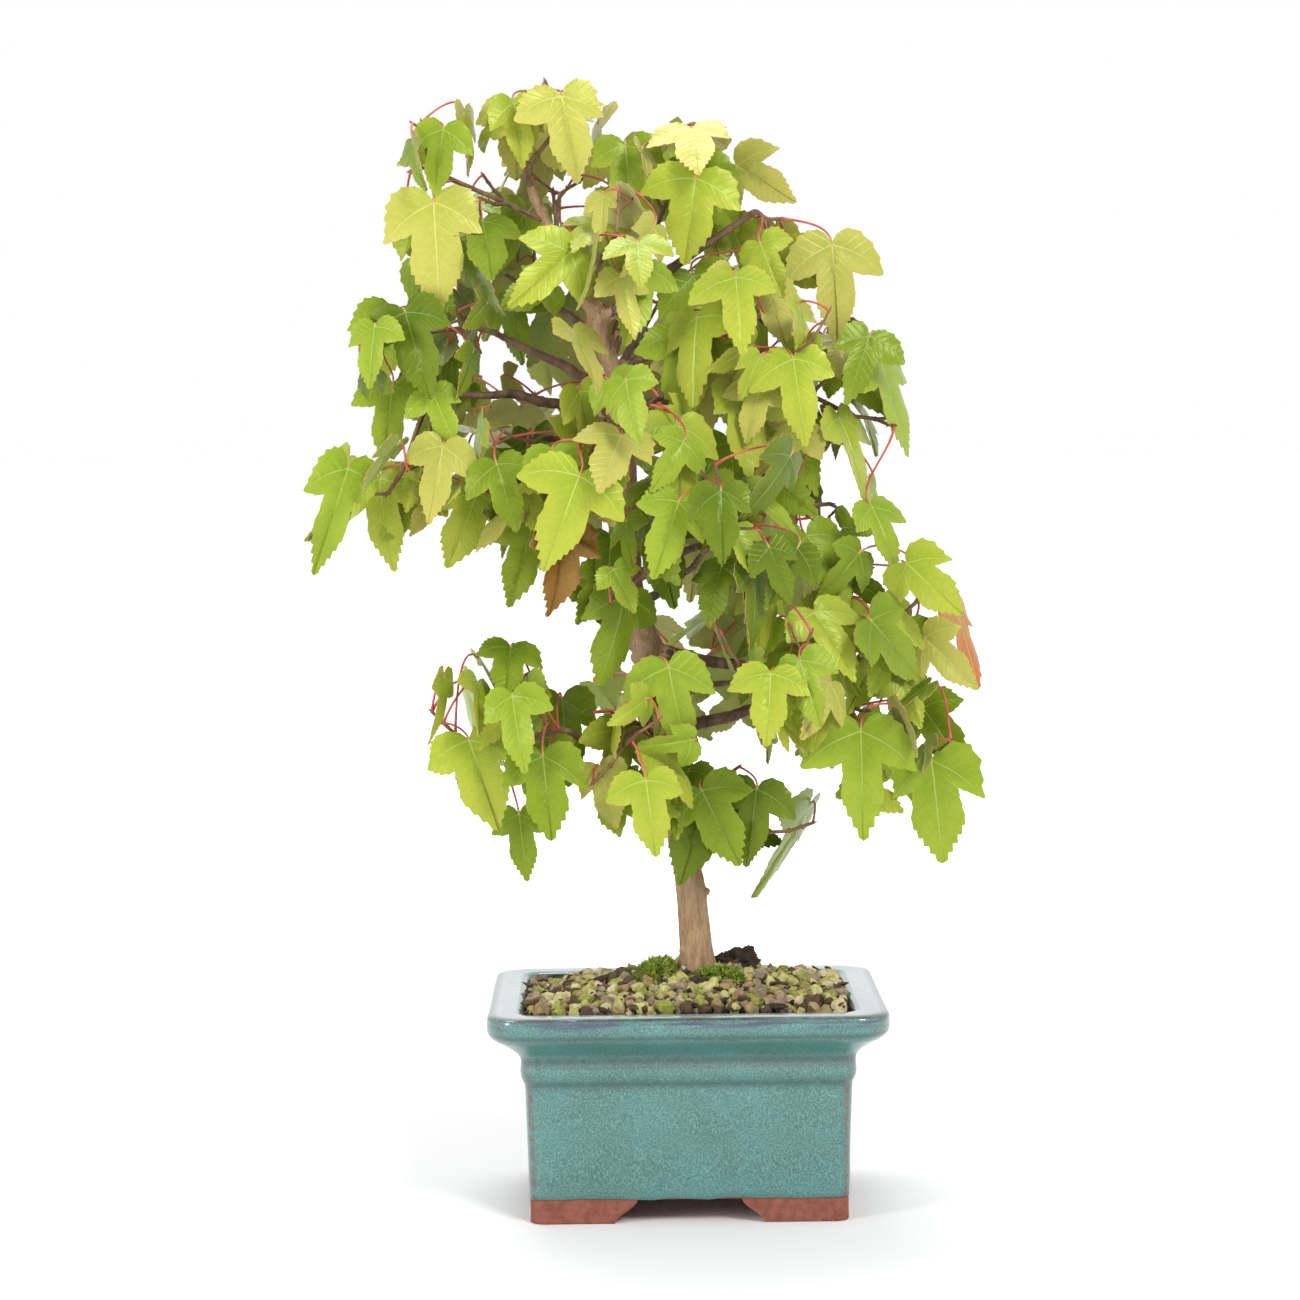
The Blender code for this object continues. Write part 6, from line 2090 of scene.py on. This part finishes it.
def make_stage():
    """A plain white floor that meets a white surround, and soft studio light."""
    pale, tree, shader = new_finish("pale_floor", 0.7, Base_Color=(0.9, 0.9, 0.9, 1.0),
                                    Emission_Color=(1.0, 1.0, 1.0, 1.0))
    place = node(tree, "ShaderNodeTexCoord").outputs["Object"]
    away = node(tree, "ShaderNodeVectorMath", {0: place}, operation="LENGTH").outputs["Value"]
    glow = ramp(tree, away, FLOOR_NEAR, FLOOR_FAR, 0.0, FLOOR_GLOW)
    tree.links.new(glow, shader.inputs["Emission Strength"])
    mesh = bpy.data.meshes.new("floor")
    half = FLOOR_HALF
    mesh.from_pydata([(-half, -half, 0), (half, -half, 0), (half, half, 0), (-half, half, 0)], [],
                     [(0, 1, 2, 3)])
    mesh.materials.append(pale)
    floor = bpy.data.objects.new("floor", mesh)
    bpy.context.scene.collection.objects.link(floor)
    world = bpy.data.worlds.new("studio")
    world.use_nodes = True
    tree = world.node_tree
    path = node(tree, "ShaderNodeLightPath")
    seen = maths(tree, "MAXIMUM", path.outputs["Is Camera Ray"], path.outputs["Is Glossy Ray"])
    backdrop = tree.nodes["Background"]
    backdrop.inputs["Color"].default_value = (1.0, 1.0, 1.0, 1.0)
    tree.links.new(ramp(tree, seen, 0.0, 1.0, WORLD_STRENGTH, 1.0), backdrop.inputs["Strength"])
    bpy.context.scene.world = world
    for name, place, power, size in LIGHTS:
        light = bpy.data.lights.new(name, "AREA")
        light.shape = "RECTANGLE"
        light.size, light.size_y = size
        light.energy = power
        lamp = bpy.data.objects.new(name, light)
        lamp.location = place
        lamp.rotation_euler = (Vector(LIGHT_AIM) - Vector(place)).to_track_quat("-Z", "Y").to_euler()
        bpy.context.scene.collection.objects.link(lamp)
    bpy.context.scene.view_settings.view_transform = "Standard"


def make_camera():
    """The camera, by its place from the pot's middle and its three small turns."""
    x, y, z = CAMERA_PLACE
    yaw, pitch, roll = CAMERA_TURN
    right = Vector((math.cos(yaw), math.sin(yaw), 0))
    level = Vector((-math.sin(yaw), math.cos(yaw), 0))
    ahead = level * math.cos(pitch) - Vector((0, 0, 1)) * math.sin(pitch)
    up = level * math.sin(pitch) + Vector((0, 0, 1)) * math.cos(pitch)
    across = right * math.cos(roll) + up * math.sin(roll)
    above = up * math.cos(roll) - right * math.sin(roll)
    lens = bpy.data.cameras.new("camera")
    lens.sensor_width = SENSOR
    lens.lens = FOCAL_PIXELS / PHOTO_PIXELS * SENSOR
    lens.clip_start = 0.05
    camera = bpy.data.objects.new("camera", lens)
    turn = Matrix((across, above, -ahead)).transposed()
    camera.matrix_world = Matrix.Translation(POT_CENTRE + Vector((x, y, z)) * MM) @ turn.to_4x4()
    bpy.context.scene.collection.objects.link(camera)
    bpy.context.scene.camera = camera


def main():
    make_camera()
    make_stage()
    patches = patches_group()
    places = leaf_places_group()
    make_glazed_body(glaze_finish(patches))
    make_clay_feet(plain_finish("bare_clay", CLAY_DARK, CLAY_LIGHT, 0.85, patches, 300.0, relief=0.3))
    earth = plain_finish("dark_soil", EARTH_DARK, EARTH_LIGHT, 0.95, patches, 400.0)
    grains = [plain_finish(f"granule_{name}", dark, light, 0.9, patches, 420.0, relief=0.3)
              for name, dark, light in GRAIN_TINTS]
    make_soil_bed(earth)
    make_soil_grains(grains)
    make_clod(grains[-1])
    greens = [plain_finish(f"moss_{k}", dark, light, 0.8, patches, 500.0)
              for k, (dark, light) in enumerate(MOSS_TINTS)]
    for row in MOSS:
        make_moss(*row, greens)
    verts, faces = trunk_shape()
    trunk_tree = BVHTree.FromPolygons(verts, faces)
    limbs = Shapes()
    limbs.add(verts, faces)
    boughs = {row[0]: bough_path(row) for row in BOUGHS}
    for path, radii in boughs.values():
        limbs.add(*seated_limb(path, radii, BOUGH_SIDES, trunk_tree))
    crown, taken, openings = grow_crown(boughs, limbs)
    bearer = next(mass for mass in MASSES if mass[0] == DRIED_MASS)
    dried = grow_placed(DRIED_PLACE, bearer, crown, taken, limbs)
    grow_finer(crown, taken, limbs, openings)
    make_trunk(boughs, bark_finish(patches))
    young = twig_finish(patches)
    make_boughs(boughs, young)
    bud_red = plain_finish("bud", BUD_DARK, BUD_LIGHT, 0.6, patches, 600.0)
    make_twigs(crown, boughs, [young, bud_red])
    make_stalks(crown, stalk_finish(patches))
    finishes = []
    for name, (inner, outer, under, vein) in TINTS.items():
        dull = tuple(c * 0.9 for c in under)
        finishes += [leaf_finish(f"leaf_{name}", inner, outer, 0.31, (patches, places)),
                     plain_finish(f"vein_{name}", vein, vein, 0.5, patches, 500.0, relief=0.05),
                     leaf_finish(f"leaf_{name}_under", dull, under, 0.6, (patches, places))]
    finishes.append(plain_finish("leaf_margin", *LEAF_MARGIN, 0.6, patches, 300.0, relief=0.05))
    make_leaves(crown, finishes, dried)


main()
